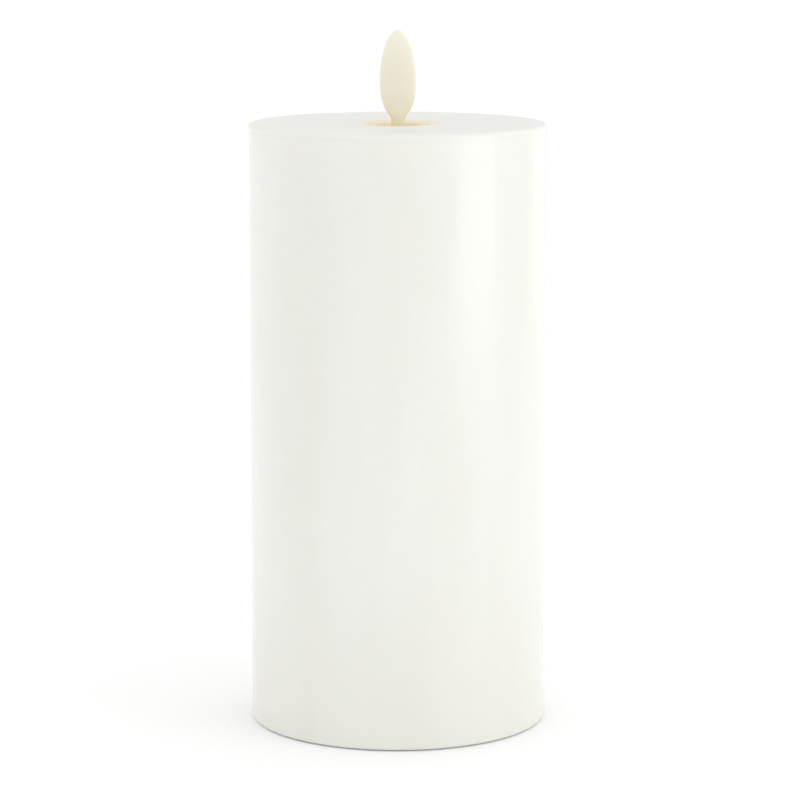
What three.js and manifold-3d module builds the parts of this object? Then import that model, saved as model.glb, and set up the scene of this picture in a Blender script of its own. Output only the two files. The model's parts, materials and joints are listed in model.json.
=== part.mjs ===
// A battery-driven pillar candle: a hollow wax shell round a moulded core that holds two D cells,
// a driver board, a coil, a lamp and a flame blade that sways on a thin steel wire.
// Millimetres, +Z up, front towards -Y. The origin is on the ground, under the candle's axis.
import * as THREE from "three";
import { mergeVertices } from "three/addons/utils/BufferGeometryUtils.js";
import Module from "manifold-3d";

const wasm = await Module();
wasm.setup();

// ---------------------------------------------------------------- driving dimensions
const GAP = 0.3; // between pieces that touch
const ROUND = 18; // sides of an ordinary round piece
const SMALL = 10; // sides of a screw, a pin or a small hole

const WAX = { radius: 50, height: 203, wall: 6, top: 9.6, standsAt: 0.4, topEdge: 1, footEdge: 1.5 };
const DISH = { radius: 13.6, lip: 9.3, depth: 0.9 };
const FLAME = { halfWidth: 6.12, above: 17.2, below: 12.5, widestAt: 13.7, neck: 4.3, thick: 2.4 };
const FLAME_SQUARENESS = 2.4; // 2 would make the blade's lower half an ellipse
const CUP = { flange: 13, foot: 7.4, throat: 6.6, stemHole: 4.5, coneDepth: 1.6 };
const CELL = { radius: 16.6, length: 61.5, nubRadius: 4.75, nubHeight: 1.5, spacing: 34.8 };
const PLATE = { bottom: 1.4, thick: 3.6, skirtTop: 15 };
const CORE = { radius: 24, neckRadius: 17, wall: 1.8 };
const SCREW = { shank: 1.25, head: 2.7, headHeight: 1.3 };
const BOARD = { halfWidth: 16, halfHeight: 23, thick: 1.6 };
const COIL = { radius: 8.5, height: 11.6, flange: 1.4, hub: 3.4, bore: 1.6, winding: 7.8 };
const PAD = { radius: 3.4, x: 33.2, y: 19.2 };
const LEAD = { power: 0.7, lamp: 0.45, coil: 0.25 };

// Heights and places that follow from them
const cellX = CELL.spacing / 2;
const waxInner = WAX.radius - WAX.wall;
const waxCeiling = WAX.height - WAX.top;
const plateRadius = waxInner - GAP;
const plateTop = PLATE.bottom + PLATE.thick;
const wellRadius = CELL.radius + 0.8;
const wellWall = 1.8;
const wellFloor = plateTop + GAP;
const doorRadius = wellRadius + 2.2;
const doorThick = 2.2;
const doorTop = PLATE.bottom + doorThick;
const bridgeTop = doorTop + 0.7;
const lowCellFoot = bridgeTop + GAP; // the cell that stands on its nub
const raisedCellFoot = lowCellFoot + 5.4; // the cell that stands on the bridge spring
const wellCeiling = raisedCellFoot + CELL.length + 1;
const roofTop = wellCeiling + 2;
const coreFoot = roofTop + GAP;
const shoulder = coreFoot + 73.5;
const coreTop = waxCeiling - 2;
const pivotZ = coreTop - 5.4;
const shelfTop = coreTop - 39.4;
const boardZ = coreFoot + 37;
const boardY = 7;

// ---------------------------------------------------------------- shape helpers
function toSolid(geometry) {
  const bare = geometry.index ? geometry.toNonIndexed() : geometry.clone();
  for (const name of Object.keys(bare.attributes)) {
    if (name !== "position") bare.deleteAttribute(name);
  }
  const merged = mergeVertices(bare, 1e-4);
  const corners = merged.index.array;
  const kept = [];
  for (let i = 0; i < corners.length; i += 3) {
    const [a, b, c] = corners.subarray(i, i + 3);
    if (a !== b && b !== c && c !== a) kept.push(a, b, c);
  }
  const vertProperties = merged.attributes.position.array;
  return new wasm.Manifold(
    new wasm.Mesh({ numProp: 3, vertProperties, triVerts: new Uint32Array(kept) }),
  );
}

function toGeometry(solid) {
  const mesh = solid.getMesh();
  const geometry = new THREE.BufferGeometry();
  geometry.setAttribute("position", new THREE.BufferAttribute(mesh.vertProperties, 3));
  geometry.setIndex(new THREE.BufferAttribute(mesh.triVerts, 1));
  const flat = geometry.toNonIndexed();
  flat.computeVertexNormals();
  return flat;
}

function join(first, ...others) {
  return toGeometry(others.reduce((sum, other) => sum.add(toSolid(other)), toSolid(first)));
}

function cut(body, ...tools) {
  return toGeometry(tools.reduce((rest, tool) => rest.subtract(toSolid(tool)), toSolid(body)));
}

function box(x, y, z) {
  const size = [x, y, z].map(([low, high]) => high - low);
  const middle = [x, y, z].map(([low, high]) => (low + high) / 2);
  return new THREE.BoxGeometry(...size).translate(...middle);
}

// A round bar along Z, Y or X, from low to high on that axis, whose middle line passes through (u, v)
function barZ(radius, low, high, u = 0, v = 0, sides = ROUND) {
  const bar = new THREE.CylinderGeometry(radius, radius, high - low, sides);
  return bar.rotateX(Math.PI / 2).translate(u, v, (low + high) / 2);
}

function barY(radius, low, high, u = 0, v = 0, sides = ROUND) {
  const bar = new THREE.CylinderGeometry(radius, radius, high - low, sides);
  return bar.translate(u, (low + high) / 2, v);
}

function barX(radius, low, high, u = 0, v = 0, sides = ROUND) {
  const bar = new THREE.CylinderGeometry(radius, radius, high - low, sides);
  return bar.rotateZ(Math.PI / 2).translate((low + high) / 2, u, v);
}

// Turns a profile of [radius, height] points, anticlockwise, about Z
function turned(points, sides = ROUND) {
  const profile = points.map(([r, z]) => new THREE.Vector2(r, z));
  return toGeometry(toSolid(new THREE.LatheGeometry(profile, sides).rotateX(Math.PI / 2)));
}

function ring(points, sides = ROUND) {
  return turned([...points, points[0]], sides);
}

function stadium(radius) {
  const outline = new THREE.Shape();
  outline.absarc(cellX, 0, radius, -Math.PI / 2, Math.PI / 2);
  outline.absarc(-cellX, 0, radius, Math.PI / 2, (3 * Math.PI) / 2);
  return outline;
}

function slab(outline, low, high, curveSegments = 8) {
  const options = { depth: high - low, bevelEnabled: false, curveSegments };
  return new THREE.ExtrudeGeometry(outline, options).translate(0, 0, low);
}

function sweep(curve, radius, steps, curveSegments = 4) {
  const section = new THREE.Shape().absarc(0, 0, radius, 0, 2 * Math.PI);
  const options = { steps, extrudePath: curve, curveSegments, bevelEnabled: false };
  return new THREE.ExtrudeGeometry(section, options);
}

class ConicalHelix extends THREE.Curve {
  constructor(lowRadius, highRadius, lowZ, highZ, turns) {
    super();
    Object.assign(this, { lowRadius, highRadius, lowZ, highZ, turns });
  }

  getPoint(t, target = new THREE.Vector3()) {
    const radius = THREE.MathUtils.lerp(this.lowRadius, this.highRadius, t);
    const angle = 2 * Math.PI * this.turns * t;
    const z = THREE.MathUtils.lerp(this.lowZ, this.highZ, t);
    return target.set(radius * Math.cos(angle), radius * Math.sin(angle), z);
  }
}

// ---------------------------------------------------------------- materials
function finish(color, roughness, metalness = 0) {
  return new THREE.MeshStandardMaterial({ color, roughness, metalness });
}

const ivoryWax = finish(0xf2f1ea, 0.35);
const flamePlastic = finish(0xebe5d3, 0.4);
const beigePlastic = finish(0xe0cfa8, 0.45);
const corePlastic = finish(0xe8e6de, 0.55);
const basePlastic = finish(0xeceae2, 0.5);
const steel = finish(0xb8bac0, 0.3, 1);
const nickel = finish(0xc9c7c0, 0.25, 1);
const copper = finish(0xb46a3c, 0.35, 1);
const blackPlastic = finish(0x1c1c1e, 0.5);
const boardGreen = finish(0x1f5a3a, 0.5);
const ferrite = finish(0x3a3836, 0.7);
const lensEpoxy = finish(0xf4e7c2, 0.1);
const cellJacket = finish(0x30343a, 0.35);
const padRubber = finish(0xd8d6d0, 0.9);
const redInsulation = finish(0xb02a24, 0.45);
const blackInsulation = finish(0x202022, 0.45);
const whiteInsulation = finish(0xe6e6e2, 0.45);

const candle = new THREE.Group();

function place(name, geometry, material, parent = candle) {
  const mesh = new THREE.Mesh(geometry, material);
  mesh.name = name;
  parent.add(mesh);
  return mesh;
}

// ---------------------------------------------------------------- wax shell
function waxShell() {
  const { radius, height, standsAt, topEdge, footEdge } = WAX;
  const outline = new THREE.Path();
  outline.moveTo(waxInner, standsAt);
  outline.lineTo(radius - footEdge, standsAt);
  outline.absarc(radius - footEdge, standsAt + footEdge, footEdge, -Math.PI / 2, 0, false);
  outline.lineTo(radius, height - topEdge);
  outline.absarc(radius - topEdge, height - topEdge, topEdge, 0, Math.PI / 2, false);
  outline.lineTo(DISH.radius, height);
  const dishMiddle = (DISH.radius + DISH.lip) / 2;
  outline.bezierCurveTo(dishMiddle, height, dishMiddle, height - DISH.depth, DISH.lip, height - DISH.depth);
  outline.lineTo(DISH.lip, waxCeiling);
  outline.lineTo(waxInner, waxCeiling);
  outline.lineTo(waxInner, standsAt);
  return turned(outline.getPoints(2).map((p) => [p.x, p.y]), 60);
}

place("wax_shell", waxShell(), ivoryWax);

// ---------------------------------------------------------------- flame and its cup
const cupFloor = waxCeiling + 2.2;
const lampWindow = { y: -3.6, radius: 2.85 };

function flameCup() {
  const rim = WAX.height - 0.6;
  const flangeTop = waxCeiling - GAP;
  const flangeFoot = coreTop + GAP;
  const cup = turned([
    [0, flangeFoot],
    [CUP.flange, flangeFoot],
    [CUP.flange, flangeTop],
    [DISH.lip - GAP, flangeTop],
    [DISH.lip - GAP, rim - 0.4],
    [DISH.lip - GAP - 0.4, rim],
    [CUP.throat, rim - CUP.coneDepth],
    [CUP.throat, cupFloor],
    [0, cupFloor],
  ], 24);
  const recess = barZ(CUP.foot, flangeFoot - 1, cupFloor - 1.4, 0, 0, 24);
  const stemHole = barZ(CUP.stemHole, cupFloor - 2, cupFloor + 1);
  const lampHole = barZ(lampWindow.radius, cupFloor - 2, cupFloor + 1, 0, lampWindow.y);
  return cut(cup, recess, stemHole, lampHole);
}

place("flame_cup", flameCup(), beigePlastic);

const magnet = { radius: 4, height: 4, top: pivotZ - 14.5 };
const wireRadius = 0.4;

// One side of the blade from its widest place down to its neck, as [half width, height] points
function lowerSide() {
  const power = 2 / FLAME_SQUARENESS;
  const neckAngle = Math.acos((FLAME.neck / 2 / FLAME.halfWidth) ** (1 / power));
  const steps = 7;
  const points = [];
  for (let i = 0; i <= steps; i += 1) {
    const angle = (neckAngle * i) / steps;
    const drop = FLAME.below * Math.sin(angle) ** power;
    points.push([FLAME.halfWidth * Math.cos(angle) ** power, WAX.height + FLAME.widestAt - drop]);
  }
  return points;
}

// The blade is an almond outline, thinner at its edge, on a narrow neck
function flameBlade() {
  const { halfWidth, above, widestAt, neck, thick } = FLAME;
  const side = lowerSide();
  const outline = new THREE.Shape();
  outline.moveTo(-neck / 2, pivotZ + 3);
  outline.lineTo(neck / 2, pivotZ + 3);
  for (const [x, z] of side.toReversed()) outline.lineTo(x, z);
  outline.absellipse(0, WAX.height + widestAt, halfWidth, above, 0, Math.PI);
  for (const [x, z] of side) outline.lineTo(-x, z);
  const edge = 0.8;
  const blade = new THREE.ExtrudeGeometry(outline, {
    depth: thick - 2 * edge,
    bevelThickness: edge,
    bevelSize: 1.4,
    bevelOffset: -1.4,
    bevelSegments: 2,
    curveSegments: 7,
  });
  return blade.translate(0, 0, edge - thick / 2).rotateX(Math.PI / 2);
}

// Below the wire the neck widens into a tab whose round foot carries the magnet
function flame() {
  const seatTop = magnet.top + 1.4;
  const tab = new THREE.Shape();
  tab.moveTo(-FLAME.neck / 2, pivotZ + 4.4);
  tab.lineTo(-magnet.radius, pivotZ - 1.6);
  tab.lineTo(-magnet.radius, magnet.top + 0.6);
  tab.lineTo(magnet.radius, magnet.top + 0.6);
  tab.lineTo(magnet.radius, pivotZ - 1.6);
  tab.lineTo(FLAME.neck / 2, pivotZ + 4.4);
  const tabSlab = slab(tab, -FLAME.thick / 2, FLAME.thick / 2).rotateX(Math.PI / 2);
  const seat = barZ(magnet.radius, magnet.top + 0.2, seatTop);
  const wireHole = barY(wireRadius + 0.35, -FLAME.thick, FLAME.thick, 0, pivotZ, SMALL);
  return cut(join(flameBlade(), tabSlab, seat), wireHole);
}

place("flame", flame(), flamePlastic);
place("flame_magnet", barZ(magnet.radius, magnet.top - magnet.height, magnet.top), nickel);
place("pivot_wire", barY(wireRadius, -15.6, 15.6, 0, pivotZ, SMALL), steel);

// ---------------------------------------------------------------- core shells
const ear = { radius: 4.2, reach: 27.8, angle: Math.PI / 3 };
const earX = ear.reach * Math.cos(ear.angle);
const earY = ear.reach * Math.sin(ear.angle);
const shellScrews = [
  { x: -19.4, z: coreTop - 8 },
  { x: 19.4, z: coreTop - 8 },
  { x: -26, z: coreFoot + 30 },
  { x: 26, z: coreFoot + 30 },
];
const boardScrews = [
  { x: 12, z: boardZ - 18 },
  { x: -12, z: boardZ + 18 },
];

function wholeCore() {
  const { radius, neckRadius, wall } = CORE;
  const shell = ring([
    [radius - wall, coreFoot],
    [radius, coreFoot],
    [radius, shoulder],
    [neckRadius, shoulder],
    [neckRadius, coreTop],
    [8, coreTop],
    [8, coreTop - wall],
    [neckRadius - wall, coreTop - wall],
    [neckRadius - wall, shelfTop],
    [2, shelfTop],
    [2, shelfTop - 1.6],
    [neckRadius - wall, shelfTop - 1.6],
    [neckRadius - wall, shoulder - wall],
    [radius - wall, shoulder - wall],
  ], 32);
  const lampLeadHole = barZ(2.6, shelfTop - 3, shelfTop + 1, 0, -11.6);
  const coilLeadHole = barZ(2.2, shelfTop - 3, shelfTop + 1, -11.6, 0);
  return cut(shell, lampLeadHole, coilLeadHole);
}

// side is -1 for the front half and 1 for the back half
function coreHalf(side) {
  const far = 60;
  const otherHalf = box([-far, far], [0, -side * far].sort((a, b) => a - b), [0, WAX.height]);
  const half = cut(wholeCore(), otherHalf);
  const post = (x, z) => barY(3.2, ...[0, side * 7].sort((a, b) => a - b), x, z, SMALL);
  const posts = shellScrews.map(({ x, z }) => post(x, z));
  const ears = [-earX, earX].map((x) => barZ(ear.radius, coreFoot, coreFoot + 2.4, x, side * earY));
  const span = [side * 12.6, side * 16.4].sort((a, b) => a - b);
  const wireBoss = barY(2.4, ...span, 0, pivotZ, SMALL);
  const solid = join(half, ...posts, ...ears, wireBoss);

  const screwHoles = shellScrews.map(({ x, z }) => barY(SCREW.shank + GAP, -9, 9, x, z, SMALL));
  const earHoles = [-earX, earX].map((x) => {
    return barZ(SCREW.shank + GAP, coreFoot - 1, coreFoot + 4, x, side * earY, SMALL);
  });
  const wireHole = barY(wireRadius + GAP, -15.9, 15.9, 0, pivotZ, SMALL);
  const joinGap = box([-far, far], [-0.15, 0.15], [0, WAX.height]);
  return cut(solid, ...screwHoles, ...earHoles, wireHole, joinGap);
}

function coreFront() {
  const leadNotch = box([-11, 11], [-26, -18], [coreFoot - 1, coreFoot + 4.5]);
  return cut(coreHalf(-1), leadNotch);
}

function coreBack() {
  const postFace = boardY + BOARD.thick / 2 + GAP;
  const posts = boardScrews.map(({ x, z }) => barY(2.6, postFace, 19.6, x, z, SMALL));
  const holes = boardScrews.map(({ x, z }) => barY(1.1, 0, 15, x, z, SMALL));
  return cut(join(coreHalf(1), ...posts), ...holes);
}

place("core_shell_front", coreFront(), corePlastic);
place("core_shell_back", coreBack(), corePlastic);

function panScrew(shank, head, headHeight, length) {
  return turned([
    [0, -length],
    [shank, -length + 1.5],
    [shank, 0],
    [head, 0],
    [head, headHeight * 0.6],
    [0, headHeight],
  ], SMALL);
}

shellScrews.forEach(({ x, z }, i) => {
  const made = panScrew(SCREW.shank, SCREW.head, SCREW.headHeight, 13);
  const screw = place(`shell_screw_${i + 1}`, made, steel);
  screw.rotation.x = Math.PI / 2;
  screw.position.set(x, -7 - GAP, z);
});

// ---------------------------------------------------------------- coil under the magnet
const bobbinFoot = shelfTop + 0.4;

function coilBobbin() {
  const { radius, flange, hub, bore } = COIL;
  const top = bobbinFoot + COIL.height;
  return ring([
    [bore, bobbinFoot],
    [radius, bobbinFoot],
    [radius, bobbinFoot + flange],
    [hub, bobbinFoot + flange],
    [hub, top - flange],
    [radius, top - flange],
    [radius, top],
    [bore, top],
  ], 24);
}

function coilWinding() {
  const low = bobbinFoot + COIL.flange + GAP;
  const high = bobbinFoot + COIL.height - COIL.flange - GAP;
  return ring([
    [COIL.hub + GAP, low],
    [COIL.winding, low],
    [COIL.winding, high],
    [COIL.hub + GAP, high],
  ], 24);
}

place("coil_bobbin", coilBobbin(), blackPlastic);
place("coil_winding", coilWinding(), copper);

// ---------------------------------------------------------------- lamp, aimed at the blade's front face
const lampMount = new THREE.Group();
lampMount.position.set(0, -7.8, pivotZ - 11);
lampMount.rotation.x = -THREE.MathUtils.degToRad(9.2);
candle.add(lampMount);

function lampLed() {
  const dome = [1, 2, 3, 4].map((i) => {
    const angle = (i * Math.PI) / 8;
    return [2.5 * Math.cos(angle), 6.1 + 2.5 * Math.sin(angle)];
  });
  return turned([[0, 0], [2.9, 0], [2.9, 1], [2.5, 1], [2.5, 6.1], ...dome.slice(0, 3), [0, 8.6]]);
}

function ledHolder() {
  const collar = barZ(4.1, 1.3, 5);
  const arm = box([-2.5, 2.5], [-7, -3.5], [1.3, 5]);
  return cut(join(collar, arm), barZ(2.5 + GAP, 0, 6));
}

place("lamp_led", lampLed(), lensEpoxy, lampMount);
place("led_holder", ledHolder(), blackPlastic, lampMount);

// ---------------------------------------------------------------- driver board
const boardFace = boardY - BOARD.thick / 2;
const boardBack = boardY + BOARD.thick / 2;
const boardFoot = boardZ - BOARD.halfHeight;
const boardHead = boardZ + BOARD.halfHeight;

function driverBoard() {
  const board = box([-BOARD.halfWidth, BOARD.halfWidth], [boardFace, boardBack], [boardFoot, boardHead]);
  const holes = boardScrews.map(({ x, z }) => barY(1.1, 0, 15, x, z, SMALL));
  return cut(board, ...holes);
}

// A small-outline package with a row of legs down each long side
function controllerChip() {
  const face = boardFace - 0.1;
  const body = box([-2.5, 2.5], [face - 1.5, face - 0.2], [-3, 3]);
  const legs = [];
  for (let i = 0; i < 4; i += 1) {
    const z = -2.1 + 1.4 * i;
    legs.push(box([-3.6, 3.6], [face - 0.6, face], [z - 0.25, z + 0.25]));
  }
  return join(body, ...legs).translate(2, 0, boardZ - 2);
}

place("driver_board", driverBoard(), boardGreen);
place("controller_chip", controllerChip(), blackPlastic);
place("storage_capacitor", barY(3.2, boardFace - 9, boardFace - 0.1, -8.5, boardZ - 10), blackPlastic);
place("boost_inductor", barY(4, boardFace - 4.6, boardFace - 0.1, 9, boardZ + 11), ferrite);

boardScrews.forEach(({ x, z }, i) => {
  const screw = place(`board_screw_${i + 1}`, panScrew(0.8, 1.9, 1.1, 7), steel);
  screw.rotation.x = Math.PI / 2;
  screw.position.set(x, boardFace - GAP, z);
});

// ---------------------------------------------------------------- battery box
const flangeTop = wellFloor + 2;
const baseScrewAt = 27.15;
const switchY = -32;
const corners = [
  [1, 1],
  [-1, 1],
  [-1, -1],
  [1, -1],
];
const tabY = 5.7; // where the contact tabs come through the roof
const leadHoleX = 8;

function batteryBox() {
  const walls = slab(stadium(wellRadius + wellWall), wellFloor, roofTop);
  const flange = barZ(41.5, wellFloor, flangeTop, 0, 0, 40);
  const roof = barZ(32.2, wellCeiling, roofTop, 0, 0, 32);
  const basePosts = corners.map(([sx, sy]) => {
    return barZ(3.4, wellFloor, wellFloor + 9, sx * baseScrewAt, sy * baseScrewAt, SMALL);
  });
  const corePosts = corners.map(([sx, sy]) => {
    return barZ(3.2, wellCeiling - 8, roofTop, sx * earX, sy * earY, SMALL);
  });
  const solid = join(walls, flange, roof, ...basePosts, ...corePosts);

  const hole = SCREW.shank + GAP;
  const well = slab(stadium(wellRadius), wellFloor - 1, wellCeiling);
  const baseHoles = corners.map(([sx, sy]) => {
    return barZ(hole, wellFloor - 1, wellFloor + 8, sx * baseScrewAt, sy * baseScrewAt, SMALL);
  });
  const coreHoles = corners.map(([sx, sy]) => {
    return barZ(hole, wellCeiling - 7, roofTop + 1, sx * earX, sy * earY, SMALL);
  });
  const tabSlots = [-cellX, cellX].map((x) => {
    return box([x - 2, x + 2], [tabY - 0.7, tabY + 0.7], [wellCeiling - 1, roofTop + 1]);
  });
  const leadHoles = [-leadHoleX, leadHoleX].map((x) => {
    return barZ(2, wellCeiling - 1, roofTop + 1, x, -22.8, SMALL);
  });
  const switchWindow = box([-10.5, 10.5], [switchY - 4.5, switchY + 4.5], [wellFloor - 1, flangeTop + 1]);
  return cut(solid, well, ...baseHoles, ...coreHoles, ...tabSlots, ...leadHoles, switchWindow);
}

place("battery_box", batteryBox(), corePlastic);

corners.forEach(([sx, sy], i) => {
  const made = panScrew(SCREW.shank, SCREW.head, SCREW.headHeight, 8);
  const screw = place(`chassis_screw_${i + 1}`, made, steel);
  screw.position.set(sx * earX, sy * earY, coreFoot + 2.4 + GAP);
});

// ---------------------------------------------------------------- cells and their contacts
// foot is the height of the cell's flat end, and up is 1 when its nub is on top
function cell(foot, up) {
  const { radius, length, nubRadius, nubHeight } = CELL;
  const body = length - nubHeight;
  const profile = [
    [0, 0],
    [radius - 1.2, 0],
    [radius, 0.9],
    [radius, body - 0.9],
    [radius - 1.2, body],
    [nubRadius, body],
    [nubRadius, length],
    [0, length],
  ];
  const made = turned(profile, 24);
  if (up < 0) made.rotateX(Math.PI).translate(0, 0, length);
  return made.translate(-up * cellX, 0, foot);
}

place("battery_nub_up", cell(raisedCellFoot, 1), cellJacket);
place("battery_nub_down", cell(lowCellFoot, -1), cellJacket);

// A square plate under the roof with a tab that stands up through it
function contactPlate(x) {
  const top = wellCeiling - GAP;
  const plate = box([x - 6.2, x + 6.2], [-6.2, 6.2], [top - 0.4, top]);
  const tab = box([x - 1.5, x + 1.5], [tabY - 0.25, tabY + 0.25], [top - 0.4, roofTop + 4.5]);
  return join(plate, tab);
}

function coneSpring(x, wideZ, narrowZ) {
  const wire = 0.5;
  const inward = Math.sign(narrowZ - wideZ) * wire;
  const helix = new ConicalHelix(6.2, 4, wideZ + inward, narrowZ - inward, 3.5);
  return sweep(helix, wire, 42, 3).translate(x, 0, 0);
}

const contactFoot = wellCeiling - GAP - 0.4;
place("contact_plate_positive", contactPlate(-cellX), nickel);
place("contact_plate_negative", contactPlate(cellX), nickel);
place("contact_spring", coneSpring(cellX, contactFoot - GAP, lowCellFoot + CELL.length + GAP), nickel);

// ---------------------------------------------------------------- base plate
const hinge = { y: doorRadius + 3, z: PLATE.bottom + 1.8, pin: 0.8, lugX: 11, lugHalf: 2.5, reach: 1.5 };

function basePlate() {
  const disc = barZ(plateRadius, PLATE.bottom, plateTop, 0, 0, 48);
  const skirt = ring([
    [plateRadius - 1.8, plateTop - 0.5],
    [plateRadius, plateTop - 0.5],
    [plateRadius, PLATE.skirtTop],
    [plateRadius - 1.8, PLATE.skirtTop],
  ], 48);
  const stakes = [-8, 8].map((x) => {
    const head = barZ(1.7, wellFloor + 1, wellFloor + 1.8, x, switchY, SMALL);
    return join(barZ(0.9, plateTop - 0.5, wellFloor + 1.5, x, switchY, SMALL), head);
  });
  const solid = join(disc, skirt, ...stakes);

  const below = PLATE.bottom - 1;
  const above = plateTop + 1;
  const doorway = slab(stadium(doorRadius + 0.5), below, above);
  const hingeRelief = doorway.clone().translate(0, 0.5, 0); // room for the door's edge as it turns
  const lugNotches = [-hinge.lugX, hinge.lugX].map((x) => {
    const half = hinge.lugHalf + 0.4;
    return box([x - half, x + half], [doorRadius, hinge.y + 2.2], [below, above]);
  });
  const pinHoles = [-hinge.lugX, hinge.lugX].map((x) => {
    const half = hinge.lugHalf + hinge.reach + 0.4;
    return barX(hinge.pin + GAP, x - half, x + half, hinge.y, hinge.z, SMALL);
  });
  const screwHoles = corners.flatMap(([sx, sy]) => [
    barZ(SCREW.shank + GAP, below, above, sx * baseScrewAt, sy * baseScrewAt, SMALL),
    barZ(SCREW.head + 0.5, below, PLATE.bottom + 1.8, sx * baseScrewAt, sy * baseScrewAt),
  ]);
  const knobSlot = box([-5, 5], [switchY - 2, switchY + 2], [below, above]);
  const knobPocket = box([-8.5, 8.5], [switchY - 4.5, switchY + 4.5], [below, PLATE.bottom + 1.4]);
  return cut(solid, doorway, hingeRelief, ...lugNotches, ...pinHoles, ...screwHoles, knobSlot, knobPocket);
}

place("base_plate", basePlate(), basePlastic);

corners.forEach(([sx, sy], i) => {
  const screw = place(`base_screw_${i + 1}`, panScrew(SCREW.shank, SCREW.head, SCREW.headHeight, 9), steel);
  screw.rotation.x = Math.PI;
  screw.position.set(sx * baseScrewAt, sy * baseScrewAt, PLATE.bottom + 1.8 - GAP);
});

// ---------------------------------------------------------------- battery door
function batteryDoor() {
  const panel = slab(stadium(doorRadius), PLATE.bottom, doorTop);
  const rim = cut(
    slab(stadium(doorRadius - 0.4), doorTop - 0.2, plateTop),
    slab(stadium(doorRadius - 1.8), doorTop - 1, plateTop + 1),
  );
  const lugs = [-hinge.lugX, hinge.lugX].map((x) => {
    const half = hinge.lugHalf;
    const arm = box([x - half, x + half], [doorRadius - 1, hinge.y], [PLATE.bottom + 0.5, doorTop]);
    const eye = barX(1.7, x - half, x + half, hinge.y, hinge.z, SMALL);
    const pin = barX(hinge.pin, x - half - hinge.reach, x + half + hinge.reach, hinge.y, hinge.z, SMALL);
    return join(arm, eye, pin);
  });
  const bead = barX(0.5, -5, 5, -doorRadius + 0.1, doorTop - 0.7, SMALL);
  const solid = join(panel, rim, ...lugs, bead);

  const low = PLATE.bottom - 1;
  const tongueSlots = [-6.6, 6.6].map((x) => {
    return box([x - 0.4, x + 0.4], [-doorRadius - 1, -doorRadius + 9], [low, doorTop + 3]);
  });
  const fingerDip = barX(6, -5, 5, -doorRadius + 4.5, PLATE.bottom - 5, 24);
  return cut(solid, ...tongueSlots, fingerDip);
}

const bridgeFoot = doorTop + GAP;
place("battery_door", batteryDoor(), basePlastic);
place("bridge_plate", box([-cellX - 6.5, cellX + 6.5], [-6.5, 6.5], [bridgeFoot, bridgeTop]), nickel);
place("bridge_spring", coneSpring(-cellX, bridgeTop + GAP, raisedCellFoot - GAP), nickel);

// ---------------------------------------------------------------- slide switch
function switchBody() {
  const foot = wellFloor;
  const can = box([-5.6, 5.6], [switchY - 3, switchY + 3], [foot, foot + 4.5]);
  const ears = box([-9.8, 9.8], [switchY - 3, switchY + 3], [foot, foot + 0.6]);
  const channel = box([-4.2, 4.2], [switchY - 1.6, switchY + 1.6], [foot - 1, foot + 2.8]);
  const stakeHoles = [-8, 8].map((x) => barZ(1.3, foot - 1, foot + 2, x, switchY, SMALL));
  const terminals = [-3.5, 0, 3.5].map((x) => {
    return box([x - 0.5, x + 0.5], [switchY - 0.2, switchY + 0.2], [foot + 4, foot + 7]);
  });
  return cut(join(can, ears, ...terminals), channel, ...stakeHoles);
}

// The knob rests in the middle of its three places
function switchKnob() {
  const stem = box([-1.7, 1.7], [switchY - 1.2, switchY + 1.2], [plateTop - 1, wellFloor + 2.4]);
  const cap = box([-2.6, 2.6], [switchY - 1.6, switchY + 1.6], [PLATE.bottom + 0.3, plateTop - 0.2]);
  const grooves = [-1.5, 0, 1.5].map((x) => {
    return box([x - 0.3, x + 0.3], [switchY - 3, switchY + 3], [PLATE.bottom - 1, PLATE.bottom + 0.8]);
  });
  return cut(join(stem, cap), ...grooves);
}

place("switch_body", switchBody(), steel);
place("switch_knob", switchKnob(), blackPlastic);

// ---------------------------------------------------------------- leads
function lead(points, radius) {
  const curve = new THREE.CatmullRomCurve3(points.map((p) => new THREE.Vector3(...p)));
  return sweep(curve, radius, Math.max(12, points.length * 4), 2);
}

const tabTop = roofTop + 4.5;
const solderY = boardFace - 1;
const terminalZ = wellFloor + 8;

place("lead_positive", lead([
  [-cellX, tabY - 1.5, tabTop - 1],
  [-cellX + 2, tabY - 4, tabTop + 4],
  [-11, solderY - 3, boardFoot - 2],
  [-10, solderY - 0.6, boardFoot + 4],
], LEAD.power), redInsulation);

place("lead_negative", lead([
  [cellX, tabY - 1.5, tabTop - 1],
  [cellX - 2, 0, tabTop + 2],
  [11, -12, tabTop + 1],
  [leadHoleX, -22.4, roofTop + 2],
  [leadHoleX, -22.8, roofTop - 8],
  [leadHoleX, -22.8, wellFloor + 30],
  [6, -26, wellFloor + 15],
  [3.5, switchY, terminalZ],
], LEAD.power), blackInsulation);

place("lead_switched", lead([
  [-3.5, switchY, terminalZ],
  [-6, -26, wellFloor + 15],
  [-leadHoleX, -22.8, wellFloor + 30],
  [-leadHoleX, -22.8, roofTop - 8],
  [-leadHoleX, -22.4, roofTop + 2],
  [-6, -12, tabTop + 2],
  [-4, -2, boardFoot - 3],
  [-4, solderY - 0.6, boardFoot + 4],
], LEAD.power), whiteInsulation);

[-1, 1].forEach((side, i) => {
  place(`led_lead_${i + 1}`, lead([
    [side * 1.3, -8, pivotZ - 11.8],
    [side * 1.4, -10.6, pivotZ - 18],
    [side * 1.4, -11.6, shelfTop + 2],
    [side * 1.4, -11.6, shelfTop - 6],
    [3 + side * 1.4, -4, boardHead + 3],
    [3 + side * 1.4, solderY - 0.3, boardHead - 3],
  ], LEAD.lamp), i ? redInsulation : blackInsulation);
  place(`coil_lead_${i + 1}`, lead([
    [-COIL.radius - 1, side * 1.1, bobbinFoot + 2.4],
    [-11.4, side * 1.1, shelfTop + 0.2],
    [-11.6, side * 1.1, shelfTop - 6],
    [-8 + side * 1.1, 1, boardHead + 2],
    [-8 + side * 1.1, solderY - 0.3, boardHead - 3],
  ], LEAD.coil), copper);
});

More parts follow.
